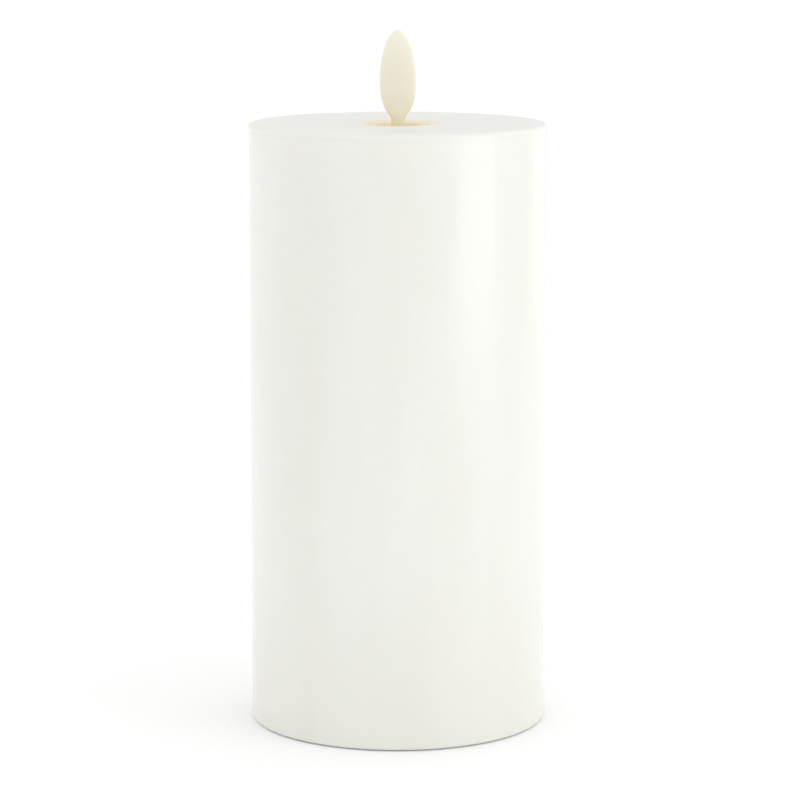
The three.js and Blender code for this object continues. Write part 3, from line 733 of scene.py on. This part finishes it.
class CANDLE_OT_flame(Operator):
    """Model the flame blade, its neck and the tab that carries the magnet"""

    bl_idname = "candle.flame"
    bl_label = "Flame"

    def execute(self, context):
        sizes = context.scene.candle_sizes
        half, tip = FLAME_HIGH.x, FLAME_HIGH.z
        widest = WAX_TOP + 13.7 * MM
        above, below = tip - widest, 12.1 * MM
        thick, neck = sizes.blade_thickness / 2, sizes.neck_width / 2
        sections = [(neck, thick, PIVOT_Z - 2 * MM), (neck, thick, WAX_TOP - 4 * MM)]
        power = 2 / sizes.squareness
        neck_angle = math.acos((neck / half) ** (1 / power))
        lower, upper = 21, 24
        for i in range(lower + 1):
            angle = neck_angle * (1 - i / lower)
            fillet = 0.5 * MM * math.exp(-i / 1.6)
            height = widest - below * math.sin(angle) ** power
            sections.append((half * math.cos(angle) ** power + fillet * 0.3, thick, height - fillet))
        for i in range(1, upper + 1):
            angle = math.pi / 2 * i / upper
            taper = max(math.cos(angle), 0) ** 0.55
            thin = thick * (0.18 + 0.82 * taper)
            section = (half * math.cos(angle), thin, widest + above * math.sin(angle))
            sections.append(section if i < upper else (0, 0, tip))
        blade = lofted("flame_blade", sections, 56)
        magnet_low, magnet_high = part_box("flame_magnet")
        wide, seat = magnet_high.x, magnet_high.z + 0.2 * MM
        tab = block("tab", (-wide, -thick, seat + 0.4 * MM), (wide, thick, PIVOT_Z - 1.6 * MM))
        bevel(tab, 0.4 * MM, 3)
        shoulder = block("shoulder", (-wide, -thick, PIVOT_Z - 2 * MM), (wide, thick, PIVOT_Z + 4.2 * MM))
        taper_top(shoulder, neck / wide)
        foot = turned("seat", chamfered(wide, seat, seat + 1.3 * MM, 0.3 * MM), 48)
        hole = bar("wire_hole", "Y", 0.75 * MM, -4 * MM, 4 * MM, (0, PIVOT_Z), 24)
        smooth(cut(join(blade, shoulder, tab, foot), hole), 45)
        present(blade, "flame_plastic", "flame", "flame")
        magnet = turned("magnet_disc", chamfered(magnet_high.x, magnet_low.z, magnet_high.z, 0.25 * MM), 48)
        present(smooth(magnet), "nickel", "flame", "flame_magnet")
        low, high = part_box("pivot_wire")
        wire = bar("sway_wire", "Y", high.x, low.y, high.y, (0, PIVOT_Z), 24)
        present(smooth(bevel(wire, 0.1 * MM)), "steel", "candle", "pivot_wire")
        return {"FINISHED"}


def wound(core, outer, low, high, turns, reach):
    """The outline of a winding of round wire, whose turns bulge to the outer radius"""
    wire = (high - low) / turns
    outline = [(core, low)]
    for i in range(turns):
        outline += arc(outer - wire / 2, low + wire * (i + 0.5), wire / 2, -reach, reach, 4)
    return outline + [(core, high), (core, low)]


def chamfered(radius, low, high, chamfer):
    """The outline of a disc, or of a flange, with both of its edges cut off"""
    inner = radius - chamfer
    return [(inner, low), (radius, low + chamfer), (radius, high - chamfer), (inner, high)]


def taper_top(piece, factor):
    """Narrows the upper face of a block in X"""
    take(piece)
    top = max(corner.co.z for corner in piece.data.vertices)
    for face in piece.data.polygons:
        face.select = all(abs(piece.data.vertices[i].co.z - top) < 1e-7 for i in face.vertices)
    bpy.ops.object.mode_set(mode="EDIT")
    bpy.ops.mesh.select_mode(type="FACE")
    bpy.ops.transform.resize(value=(factor, 1, 1), center_override=(0, 0, top))
    bpy.ops.mesh.select_mode(type="VERT")
    bpy.ops.object.mode_set(mode="OBJECT")


# ------------------------------------------------------------------ base, door and switch
def stadium(name, radius, low, high, shift=0.0):
    """A slab with round ends over the two cells"""
    ends = [bar("round_end", "Z", radius, low, high, (x, shift), 96) for x in (-CELL_X, CELL_X)]
    middle = block(name, (-CELL_X, shift - radius, low), (CELL_X, shift + radius, high))
    return join(middle, *ends)


class CANDLE_OT_base_plate(Operator):
    """Model the base plate with its doorway, hinge notches, screw wells and switch pocket"""

    bl_idname = "candle.base_plate"
    bl_label = "Base Plate"

    SKIRT_WALL = 1.8 * MM
    NOTCH_HALF, NOTCH_DEEP = 2.9 * MM, 2.2 * MM
    PIN_HOLE_RADIUS, PIN_HOLE_HALF = 1.1 * MM, 4.4 * MM
    SCREW_HOLE_RADIUS, WELL_RADIUS, WELL_DEPTH = 1.55 * MM, 3.2 * MM, 1.8 * MM
    SLOT_HALF = (5 * MM, 2 * MM)
    POCKET_HALF, POCKET_DEPTH = (8.5 * MM, 4.5 * MM), 1.4 * MM
    STAKES_X = (-8 * MM, 8 * MM)

    def execute(self, context):
        radius, foot = PLATE_HIGH.x, PLATE_LOW.z
        inside, edge = radius - self.SKIRT_WALL, 0.3 * MM
        outline = [(radius - 0.5 * MM, foot), (radius, foot + 0.5 * MM), (radius, SKIRT_TOP - edge)]
        outline += [(radius - edge, SKIRT_TOP), (inside + edge, SKIRT_TOP)]
        outline += [(inside, SKIRT_TOP - edge), (inside, PLATE_TOP)]
        plate = turned("base_plate_moulding", outline, 128)
        pocket_top = foot + self.POCKET_DEPTH
        cut(plate, *self.openings(foot, pocket_top))
        stakes = []
        for x in self.STAKES_X:
            for name, thick, low, high in (("stake", 0.9, -0.5, 1.6), ("stake_head", 1.7, 1.3, 2.1)):
                ends = (PLATE_TOP + low * MM, PLATE_TOP + high * MM)
                stakes.append(bar(name, "Z", thick * MM, *ends, (x, SWITCH_Y), 24))
        join(plate, *stakes)
        bevel(plate, 0.18 * MM, 2, 40)
        smooth(plate)
        present(plate, "base_plastic", "candle", "base_plate")
        self.add_marks(pocket_top)
        return {"FINISHED"}

    def openings(self, foot, pocket_top):
        """Solids of what is cut from the plate, from the doorway to the switch's pocket"""
        low, high = foot - 1 * MM, PLATE_HIGH.z + 1 * MM
        tools = [stadium("doorway", DOOR_RADIUS + DOOR_GAP, low, high)]
        tools.append(stadium("hinge_relief", DOOR_RADIUS + DOOR_GAP, low, high, 0.5 * MM))
        for x in LUGS_X:
            near, far = x - self.NOTCH_HALF, x + self.NOTCH_HALF
            tools.append(block("notch", (near, DOOR_RADIUS, low), (far, HINGE.y + self.NOTCH_DEEP, high)))
            ends = (x - self.PIN_HOLE_HALF, x + self.PIN_HOLE_HALF)
            tools.append(bar("pin_hole", "X", self.PIN_HOLE_RADIUS, *ends, HINGE.yz, 24))
        for place in ((x, y) for x in (SCREW_X, -SCREW_X) for y in (SCREW_X, -SCREW_X)):
            tools.append(bar("screw_hole", "Z", self.SCREW_HOLE_RADIUS, low, high, place, 24))
            tools.append(bar("screw_well", "Z", self.WELL_RADIUS, low, foot + self.WELL_DEPTH, place, 40))
        tools.append(upright("knob_slot", (0, SWITCH_Y), self.SLOT_HALF, low, high))
        pocket = upright("pocket", (0, SWITCH_Y), self.POCKET_HALF, low, pocket_top)
        return [*tools, bevel(pocket, 0.6 * MM, 3)]

    def add_marks(self, ground):
        """A ring, a bar and a dot beside the knob, for its three places"""
        y, low, apart = SWITCH_Y + 3.2 * MM, ground - 0.2 * MM, 3.4 * MM
        inner, outer, half = 0.55 * MM, 0.8 * MM, 0.18 * MM
        outline = [(inner, ground), (outer, ground), (outer, low), (inner, low), (inner, ground)]
        ring = turned("switch_mark_off", outline, 32, (-apart, y))
        dash = upright("switch_mark_on", (0, y), (half, outer), low, ground)
        dot = bar("switch_mark_timer", "Z", 0.5 * MM, low, ground, (apart, y), 32)
        for mark in (ring, bevel(dash, 0.06 * MM), bevel(dot, 0.06 * MM)):
            present(smooth(mark), "black_plastic", "candle")


class CANDLE_OT_battery_door(Operator):
    """Model the battery door with its lugs, pins, latch tongue, grip and bridge contact"""

    bl_idname = "candle.battery_door"
    bl_label = "Battery Door"

    THICK = 2.2 * MM
    ARM_HALF, EYE_RADIUS = 2.5 * MM, 1.7 * MM
    PIN_HALF, PIN_RADIUS = 4 * MM, 0.8 * MM
    BEAD_HALF, BEAD_RADIUS = 5 * MM, 0.5 * MM
    TONGUE_X, TONGUE_LONG, TONGUE_GAP_HALF = 6.6 * MM, 9 * MM, 0.4 * MM
    GRIPS, GRIP_STEP, GRIP_HALF = 6, 2 * MM, 9 * MM

    def execute(self, context):
        foot, top, edge = DOOR_LOW.z, DOOR_LOW.z + self.THICK, -DOOR_RADIUS
        door = stadium("battery_door_moulding", DOOR_RADIUS, foot, top)
        rim = stadium("rim", DOOR_RADIUS - 0.4 * MM, top - 0.2 * MM, DOOR_HIGH.z)
        cut(rim, stadium("rim_hollow", DOOR_RADIUS - 1.8 * MM, top - 1 * MM, DOOR_HIGH.z + 1 * MM))
        parts = [rim]
        for x in LUGS_X:
            ends = (x - self.ARM_HALF, x + self.ARM_HALF)
            low = (ends[0], DOOR_RADIUS - 1 * MM, foot + 0.5 * MM)
            parts.append(block("arm", low, (ends[1], HINGE.y, top)))
            parts.append(bar("eye", "X", self.EYE_RADIUS, *ends, HINGE.yz, 40))
            ends = (x - self.PIN_HALF, x + self.PIN_HALF)
            parts.append(bar("pin", "X", self.PIN_RADIUS, *ends, HINGE.yz, 24))
        ends = (-self.BEAD_HALF, self.BEAD_HALF)
        parts.append(bar("bead", "X", self.BEAD_RADIUS, *ends, (edge + 0.1 * MM, top - 0.7 * MM), 24))
        join(door, *parts)
        cut(door, *self.openings(foot, top, edge))
        bevel(door, 0.16 * MM, 2, 40)
        smooth(door)
        present(door, "base_plastic", "door", "battery_door")
        plate = refined("bridge_plate", "bridge_contact", 0.08 * MM)
        present(plate, "nickel", "door", "bridge_plate")
        present(refined("bridge_spring", "bridge_coil", growth=0.1 * MM), "nickel", "door", "bridge_spring")
        return {"FINISHED"}

    def openings(self, foot, top, edge):
        """Solids of the slots beside the latch tongue, the dip for a finger and the gaps of the grip"""
        tools = []
        below = foot - 1 * MM
        for x in (-self.TONGUE_X, self.TONGUE_X):
            low = (x - self.TONGUE_GAP_HALF, edge - 1 * MM, below)
            high = (x + self.TONGUE_GAP_HALF, edge + self.TONGUE_LONG, top + 3 * MM)
            tools.append(block("tongue_slot", low, high))
        tools.append(bar("finger_dip", "X", 6 * MM, -5 * MM, 5 * MM, (edge + 4.5 * MM, foot - 5 * MM), 64))
        for i in range(self.GRIPS):
            y = 4 * MM + self.GRIP_STEP * i
            high = (self.GRIP_HALF, y + 0.8 * MM, foot + 0.35 * MM)
            tools.append(bevel(block("grip_gap", (-self.GRIP_HALF, y, below), high), 0.2 * MM))
        return tools


class CANDLE_OT_switch(Operator):
    """Model the slide switch and its ribbed knob"""

    bl_idname = "candle.switch"
    bl_label = "Switch"

    def execute(self, context):
        low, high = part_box("switch_knob")
        shoulder = PLATE_TOP - 0.2 * MM
        knob = block("switch_knob_cap", low, (high.x, high.y, shoulder))
        stem = upright("stem", (0, SWITCH_Y), (1.7 * MM, 1.2 * MM), shoulder - 0.6 * MM, high.z)
        bevel(knob, 0.25 * MM, 3)
        join(knob, stem)
        step, groove, ends = 0.8 * MM, 0.32 * MM, (low.y - 1 * MM, high.y + 1 * MM)
        rows = [(step * i, low.z - 0.05 * MM) for i in range(-2, 3)]
        cut(knob, *[bar("groove", "Y", groove, *ends, row, 24) for row in rows])
        present(smooth(bevel(knob, 0.05 * MM)), "black_plastic", "switch_knob", "switch_knob")
        present(refined("switch_body", "switch_can", 0.15 * MM), "steel", "candle", "switch_body")
        return {"FINISHED"}


class CANDLE_OT_foot_pads(Operator):
    """Model the four soft pads that the candle stands on"""

    bl_idname = "candle.foot_pads"
    bl_label = "Foot Pads"

    def execute(self, context):
        radius, round_edge = 3.4 * MM, 0.35 * MM
        for i in range(1, 5):
            node = f"foot_pad_{i}"
            low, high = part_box(node)
            outline = [(radius - round_edge, low.z)]
            outline += arc(radius - round_edge, low.z + round_edge, round_edge, -60, 0, 3)
            outline += [(radius, high.z - 0.1 * MM), (radius - 0.1 * MM, high.z)]
            pad = turned(f"foot_pad_disc_{i}", outline, 48, middle_of(node).xy)
            present(smooth(pad, 50), "pad_rubber", "candle", node)
        return {"FINISHED"}


# ------------------------------------------------------------------ fasteners
def screw(name, shank, head, rise, length):
    """A pan-head screw with a cross recess, standing on its point, its head's underside at height 0"""
    pitch, root, point = 0.9 * MM, shank * 0.76, 1.4 * MM
    outline = [(0, -length), (shank * 0.5, -length + 1.1 * MM)]
    turns = int((length - point - 1 * MM) / pitch)
    for i in range(turns):
        z = -length + point + pitch * i
        outline += [(root, z), (shank, z + pitch * 0.4), (root, z + pitch * 0.8)]
    outline += [(shank * 0.9, -0.3 * MM), (shank, 0), (head, 0), (head, rise * 0.3)]
    outline += [(head * math.cos(a), rise * (0.3 + 0.7 * math.sin(a))) for a in (0.35, 0.7, 1.0, 1.25)]
    made = turned(name, outline, 32)
    depth, reach, half = rise * 0.62, head * 0.56, head * 0.11
    for x, y in ((reach, half), (half, reach)):
        cut(made, block("wing", (-x, -y, rise - depth), (x, y, rise + 1 * MM)))
    bevel(made, 0.05 * MM, 2, 50)
    return smooth(made, 40)


class CANDLE_OT_fasteners(Operator):
    """Model one screw of each kind and copy it to its places"""

    bl_idname = "candle.fasteners"
    bl_label = "Fasteners"

    # The kind, how many, the axis along them, their turn about X, and then the shank's radius,
    # the head's radius, the head's height and the length, in millimetres
    KINDS = (
        ("base_screw", 4, "Z", math.pi, (1.25, 2.7, 1.3, 9)),
        ("chassis_screw", 4, "Z", 0, (1.25, 2.7, 1.3, 8)),
        ("shell_screw", 4, "Y", math.pi / 2, (1.25, 2.7, 1.3, 13)),
        ("board_screw", 2, "Y", math.pi / 2, (0.8, 1.9, 1.1, 7)),
    )

    def execute(self, context):
        for kind, count, axis, turn, sizes in self.KINDS:
            shank, head, rise, length = (size * MM for size in sizes)
            pattern = screw(kind + "_pattern", shank, head, rise, length)
            for i in range(1, count + 1):
                self.place(pattern, f"{kind}_{i}", axis, turn, rise)
            bpy.data.objects.remove(pattern)
        return {"FINISHED"}

    def place(self, pattern, node, axis, turn, rise):
        low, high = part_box(node)
        copy = bpy.data.objects.new(node + "_cross", pattern.data.copy())
        bpy.context.scene.collection.objects.link(copy)
        place = (low + high) / 2
        if axis == "Y":
            place.y = low.y + rise
        else:
            place.z = low.z + rise if turn else high.z - rise
        copy.location = place
        copy.rotation_euler.x = turn
        apply_place(copy)
        present(copy, "steel", "candle", node)


# ------------------------------------------------------------------ works
def refined(node, name, width=0.0, growth=0.0, angle=38):
    """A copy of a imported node, merged into one skin, with its edges bevelled

    With a growth it is rounded off instead, and grown first by what the rounding takes away.
    """
    mesh = frame["nodes"][node].data.copy()
    piece = bpy.data.objects.new(name, mesh)
    bpy.context.scene.collection.objects.link(piece)
    tidy(piece, 0.001 * MM)
    if width:
        take(piece)
        bpy.ops.object.mode_set(mode="EDIT")
        bpy.ops.mesh.select_all(action="SELECT")
        bpy.ops.mesh.dissolve_limited(angle_limit=math.radians(1))
        bpy.ops.object.mode_set(mode="OBJECT")
        bevel(piece, width, 2, 50)
    if growth:
        modify(piece, "DISPLACE", strength=growth, mid_level=0)
        modify(piece, "SUBSURF", levels=2, render_levels=2)
        angle = 60
    return smooth(piece, angle)


class CANDLE_OT_core(Operator):
    """Soften the core's moulded shells, the battery box and the small holders"""

    bl_idname = "candle.core"
    bl_label = "Core Shells"

    PIECES = {
        "core_shell_front": ("core_front_moulding", 0.3),
        "core_shell_back": ("core_back_moulding", 0.3),
        "battery_box": ("battery_box_moulding", 0.3),
        "led_holder": ("lamp_clip", 0.2),
        "contact_plate_positive": ("positive_contact", 0.08),
        "contact_plate_negative": ("negative_contact", 0.08),
        "driver_board": ("board_panel", 0.1),
        "controller_chip": ("controller_package", 0.06),
    }

    def execute(self, context):
        for node, (name, width) in self.PIECES.items():
            present(refined(node, name, width * MM), SLOT_OF[node], "candle", node)
        return {"FINISHED"}


class CANDLE_OT_wiring(Operator):
    """Round off the leads and the contact spring"""

    bl_idname = "candle.wiring"
    bl_label = "Wiring"

    GROWTHS = {
        "lead_positive": 0.35,
        "lead_negative": 0.35,
        "lead_switched": 0.35,
        "led_lead_1": 0.22,
        "led_lead_2": 0.22,
        "coil_lead_1": 0.12,
        "coil_lead_2": 0.12,
        "contact_spring": 0.1,
    }

    def execute(self, context):
        for node, growth in self.GROWTHS.items():
            wire = refined(node, node + "_wire", growth=growth * MM)
            present(wire, SLOT_OF[node], "candle", node)
        return {"FINISHED"}


class CANDLE_OT_coil(Operator):
    """Model the bobbin and its winding"""

    bl_idname = "candle.coil"
    bl_label = "Coil"

    def execute(self, context):
        low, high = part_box("coil_bobbin")
        radius, flange, hub, bore = high.x, 1.4 * MM, 3.4 * MM, 1.6 * MM
        lower, upper, corner = low.z + flange, high.z - flange, 0.25 * MM
        outline = [(bore, low.z)] + chamfered(radius, low.z, lower, corner) + [(hub, lower), (hub, upper)]
        outline += chamfered(radius, upper, high.z, corner) + [(bore, high.z), (bore, low.z)]
        present(smooth(turned("bobbin", outline, 64)), "black_plastic", "candle", "coil_bobbin")
        low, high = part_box("coil_winding")
        outline = wound(hub + GAP, high.x, low.z, high.z, 22, 80)
        present(smooth(turned("winding", outline, 64), 60), "copper", "candle", "coil_winding")
        return {"FINISHED"}


class CANDLE_OT_cells(Operator):
    """Model the two cells with their rolled rims, one nub up and one nub down"""

    bl_idname = "candle.cells"
    bl_label = "Cells"

    def execute(self, context):
        for node, up in (("battery_nub_up", True), ("battery_nub_down", False)):
            low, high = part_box(node)
            radius, nub, nub_height, roll = (high.x - low.x) / 2, 4.75 * MM, 1.5 * MM, 0.9 * MM
            top = high.z - low.z
            body = top - nub_height
            dimple = 9 * MM
            outline = [(dimple, 0.2 * MM), (dimple + 0.4 * MM, 0)]
            outline += [(radius - 2 * MM, 0), (radius - 1.6 * MM, 0.5 * MM)]
            outline += arc(radius - roll, roll, roll, -120, 0, 6)
            outline += arc(radius - roll, body - roll, roll, 0, 120, 6)
            outline += [(radius - 2.2 * MM, body - 0.4 * MM), (nub + 1.2 * MM, body - 0.3 * MM)]
            outline += [(nub, body), (nub, top - 0.3 * MM), (nub - 0.3 * MM, top)]
            cell = turned(node.replace("battery", "cell"), outline, 96)
            if not up:
                cell.rotation_euler.x = math.pi
            cell.location = ((low.x + high.x) / 2, 0, low.z if up else high.z)
            apply_place(cell)
            present(smooth(cell), "cell_jacket", "candle", node)
        return {"FINISHED"}


class CANDLE_OT_lamp(Operator):
    """Model the lamp with its flange, dome and posts, tilted towards the flame"""

    bl_idname = "candle.lamp"
    bl_label = "Lamp"

    STANDS_AT = (0, -7.8 * MM, PIVOT_Z - 11 * MM)
    LEANS = math.radians(9.2)

    def execute(self, context):
        radius, flange_radius, flange, dome = 2.5 * MM, 2.9 * MM, 1 * MM, 6.1 * MM
        outline = chamfered(flange_radius, 0, flange, 0.2 * MM) + [(radius, flange), (radius, dome)]
        outline += arc(0, dome, radius, 8, 82, 9) + [(0, dome + radius)]
        lens = turned("lamp_lens", outline, 48)
        post = block("lamp_post", (-1.3 * MM, -0.25 * MM, 1.6 * MM), (-0.6 * MM, 0.25 * MM, 5.2 * MM))
        anvil = block("lamp_anvil", (0.2 * MM, -0.5 * MM, 1.6 * MM), (1.5 * MM, 0.5 * MM, 4.6 * MM))
        self.lean(lens, "led_epoxy", "lamp_led")
        self.lean(bevel(post, 0.1 * MM), "nickel")
        self.lean(bevel(anvil, 0.25 * MM), "nickel")
        return {"FINISHED"}

    def lean(self, piece, slot, *nodes):
        """Stands a piece of the lamp in its holder, leaning so that it looks up at the flame"""
        piece.location = self.STANDS_AT
        piece.rotation_euler.x = -self.LEANS
        apply_place(piece)
        present(smooth(piece), slot, "candle", *nodes)


class CANDLE_OT_board_parts(Operator):
    """Model the parts that stand on the driver board"""

    bl_idname = "candle.board_parts"
    bl_label = "Board Parts"

    def execute(self, context):
        self.capacitor()
        self.inductor()
        self.chips()
        return {"FINISHED"}

    def lay(self, piece, node):
        """Turns a piece made along Z to stand out from the board, towards -Y, where its node does"""
        middle = middle_of(node)
        piece.rotation_euler.x = math.pi / 2
        piece.location = (middle.x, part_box(node)[1].y, middle.z)
        apply_place(piece)
        return piece

    def capacitor(self):
        low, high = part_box("storage_capacitor")
        radius, tall = (high.x - low.x) / 2, high.y - low.y
        waist = radius - 0.4 * MM
        outline = [(radius - 0.3 * MM, 0), (radius, 0.3 * MM), (radius, 1.2 * MM), (waist, 1.6 * MM)]
        outline += [(radius, 2 * MM), (radius, tall - 0.4 * MM), (waist, tall)]
        outline += [(radius - 0.7 * MM, tall), (radius - 0.8 * MM, tall - 0.12 * MM)]
        can = self.lay(turned("capacitor_can", outline, 48), "storage_capacitor")
        present(smooth(can), "capacitor_sleeve", "candle", "storage_capacitor")

    def inductor(self):
        low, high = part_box("boost_inductor")
        radius, tall = (high.x - low.x) / 2, high.y - low.y
        waist, flange, edge = radius * 0.55, 0.9 * MM, 0.2 * MM
        outline = [(radius - edge, 0), (radius, edge), (radius, flange), (waist, flange)]
        outline += [(waist, tall - flange), (radius, tall - flange), (radius, tall - edge)]
        outline.append((radius - edge, tall))
        drum = self.lay(turned("inductor_drum", outline, 48), "boost_inductor")
        present(smooth(drum), "ferrite", "candle", "boost_inductor")
        turns, start = 6, flange + 0.05 * MM
        wire = (tall - 2 * start) / turns
        outer = radius * 0.82 + wire / 2
        outline = wound(waist + 0.1 * MM, outer, start, tall - start, turns, 75)
        coil = self.lay(turned("inductor_wire", outline, 48), "boost_inductor")
        present(smooth(coil, 60), "copper", "candle")

    def chips(self):
        """Two rows of four small resistors with tinned ends"""
        face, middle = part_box("driver_board")[0].y, middle_of("driver_board").z
        size, lap, in_row = Vector((1.6, 0.6, 0.85)) * MM, 0.03 * MM, 4
        for i in range(2 * in_row):
            row, column = divmod(i, in_row)
            x = (-12 + 3.4 * column + 0.6 * row) * MM
            low = Vector((x, face - 0.65 * MM, middle + (9 + 4 * row) * MM))
            high = low + size
            body = block(f"board_resistor_{i + 1}", low, high)
            present(smooth(bevel(body, 0.08 * MM)), "ferrite", "candle")
            for side, start in enumerate((low.x - 0.25 * MM, high.x - 0.05 * MM)):
                name = f"board_resistor_end_{i + 1}_{side + 1}"
                end_high = (start + 0.3 * MM, high.y + lap, high.z + lap)
                end = block(name, (start, low.y - lap, low.z - lap), end_high)
                present(smooth(bevel(end, 0.06 * MM)), "nickel", "candle")


# ------------------------------------------------------------------ stage
def softbox(name, power, size, azimuth, elevation, distance, aim):
    """An area light on a sphere round the aim; azimuth 0 stands in front and 90 at the right"""
    turn, lift = math.radians(azimuth), math.radians(elevation)
    away = Vector((math.sin(turn) * math.cos(lift), -math.cos(turn) * math.cos(lift), math.sin(lift)))
    lamp = bpy.data.lights.new(name, "AREA")
    lamp.shape = "RECTANGLE"
    lamp.size, lamp.size_y = size
    lamp.energy = power
    holder = bpy.data.objects.new(name, lamp)
    bpy.context.scene.collection.objects.link(holder)
    holder.location = aim + away * distance
    holder.rotation_euler = (-away).to_track_quat("-Z", "Y").to_euler()


class CANDLE_OT_stage(Operator):
    """Set up the floor, the studio light and the camera"""

    bl_idname = "candle.stage"
    bl_label = "Stage"

    def execute(self, context):
        scene = context.scene
        deselect()
        bpy.ops.mesh.primitive_plane_add(size=30)
        floor = named("floor")
        floor.data.materials.append(floor_finish())

        world = bpy.data.worlds.new("studio")
        world.use_nodes = True
        sky = world.node_tree.nodes["Background"]
        sky.inputs["Color"].default_value = (1, 1, 1, 1)
        sky.inputs["Strength"].default_value = 1.0
        scene.world = world

        aim = Vector((0, 0, WAX_TOP / 2))
        softbox("key_strip", 2.0, (0.57, 1.3), 62, 8, 1.0, aim)
        softbox("rim_strip", 0.38, (0.4, 1.3), 135, 5, 1.1, aim)

        scene.view_settings.view_transform = "Standard"

        eye = bpy.data.cameras.new("camera")
        eye.lens = 145.4
        eye.shift_x = 0.0025
        eye.shift_y = -0.05
        eye.clip_end = 100
        camera = bpy.data.objects.new("camera", eye)
        scene.collection.objects.link(camera)
        camera.location = (0, -1.080, 0.2899)
        camera.rotation_euler = (math.radians(90 - 8.80), 0, 0)
        scene.camera = camera
        return {"FINISHED"}


# ------------------------------------------------------------------ panel and registration
OPERATORS = (
    CANDLE_OT_wax_body,
    CANDLE_OT_flame_cup,
    CANDLE_OT_flame,
    CANDLE_OT_base_plate,
    CANDLE_OT_battery_door,
    CANDLE_OT_switch,
    CANDLE_OT_foot_pads,
    CANDLE_OT_fasteners,
    CANDLE_OT_core,
    CANDLE_OT_wiring,
    CANDLE_OT_coil,
    CANDLE_OT_cells,
    CANDLE_OT_lamp,
    CANDLE_OT_board_parts,
    CANDLE_OT_stage,
)


class CANDLE_PT_sidebar(Panel):
    """The candle's pieces, sizes and colours"""

    bl_idname = "CANDLE_PT_sidebar"
    bl_label = "Flameless Candle"
    bl_space_type = "VIEW_3D"
    bl_region_type = "UI"
    bl_category = "Candle"

    def draw(self, context):
        scene = context.scene
        for operator in OPERATORS:
            self.layout.operator(operator.bl_idname)
        for group in (scene.candle_sizes, scene.candle_colours):
            for name in group.__annotations__:
                self.layout.prop(group, name)


CLASSES = (CandleSizes, CandleColours, *OPERATORS, CANDLE_PT_sidebar)


def register():
    for made in CLASSES:
        bpy.utils.register_class(made)
    bpy.types.Scene.candle_sizes = PointerProperty(type=CandleSizes)
    bpy.types.Scene.candle_colours = PointerProperty(type=CandleColours)


def unregister():
    del bpy.types.Scene.candle_colours
    del bpy.types.Scene.candle_sizes
    for made in reversed(CLASSES):
        bpy.utils.unregister_class(made)


def main():
    register()
    for operator in OPERATORS:
        group, name = operator.bl_idname.split(".")
        getattr(getattr(bpy.ops, group), name)()
    bpy.context.view_layer.update()


if __name__ == "__main__":
    main()
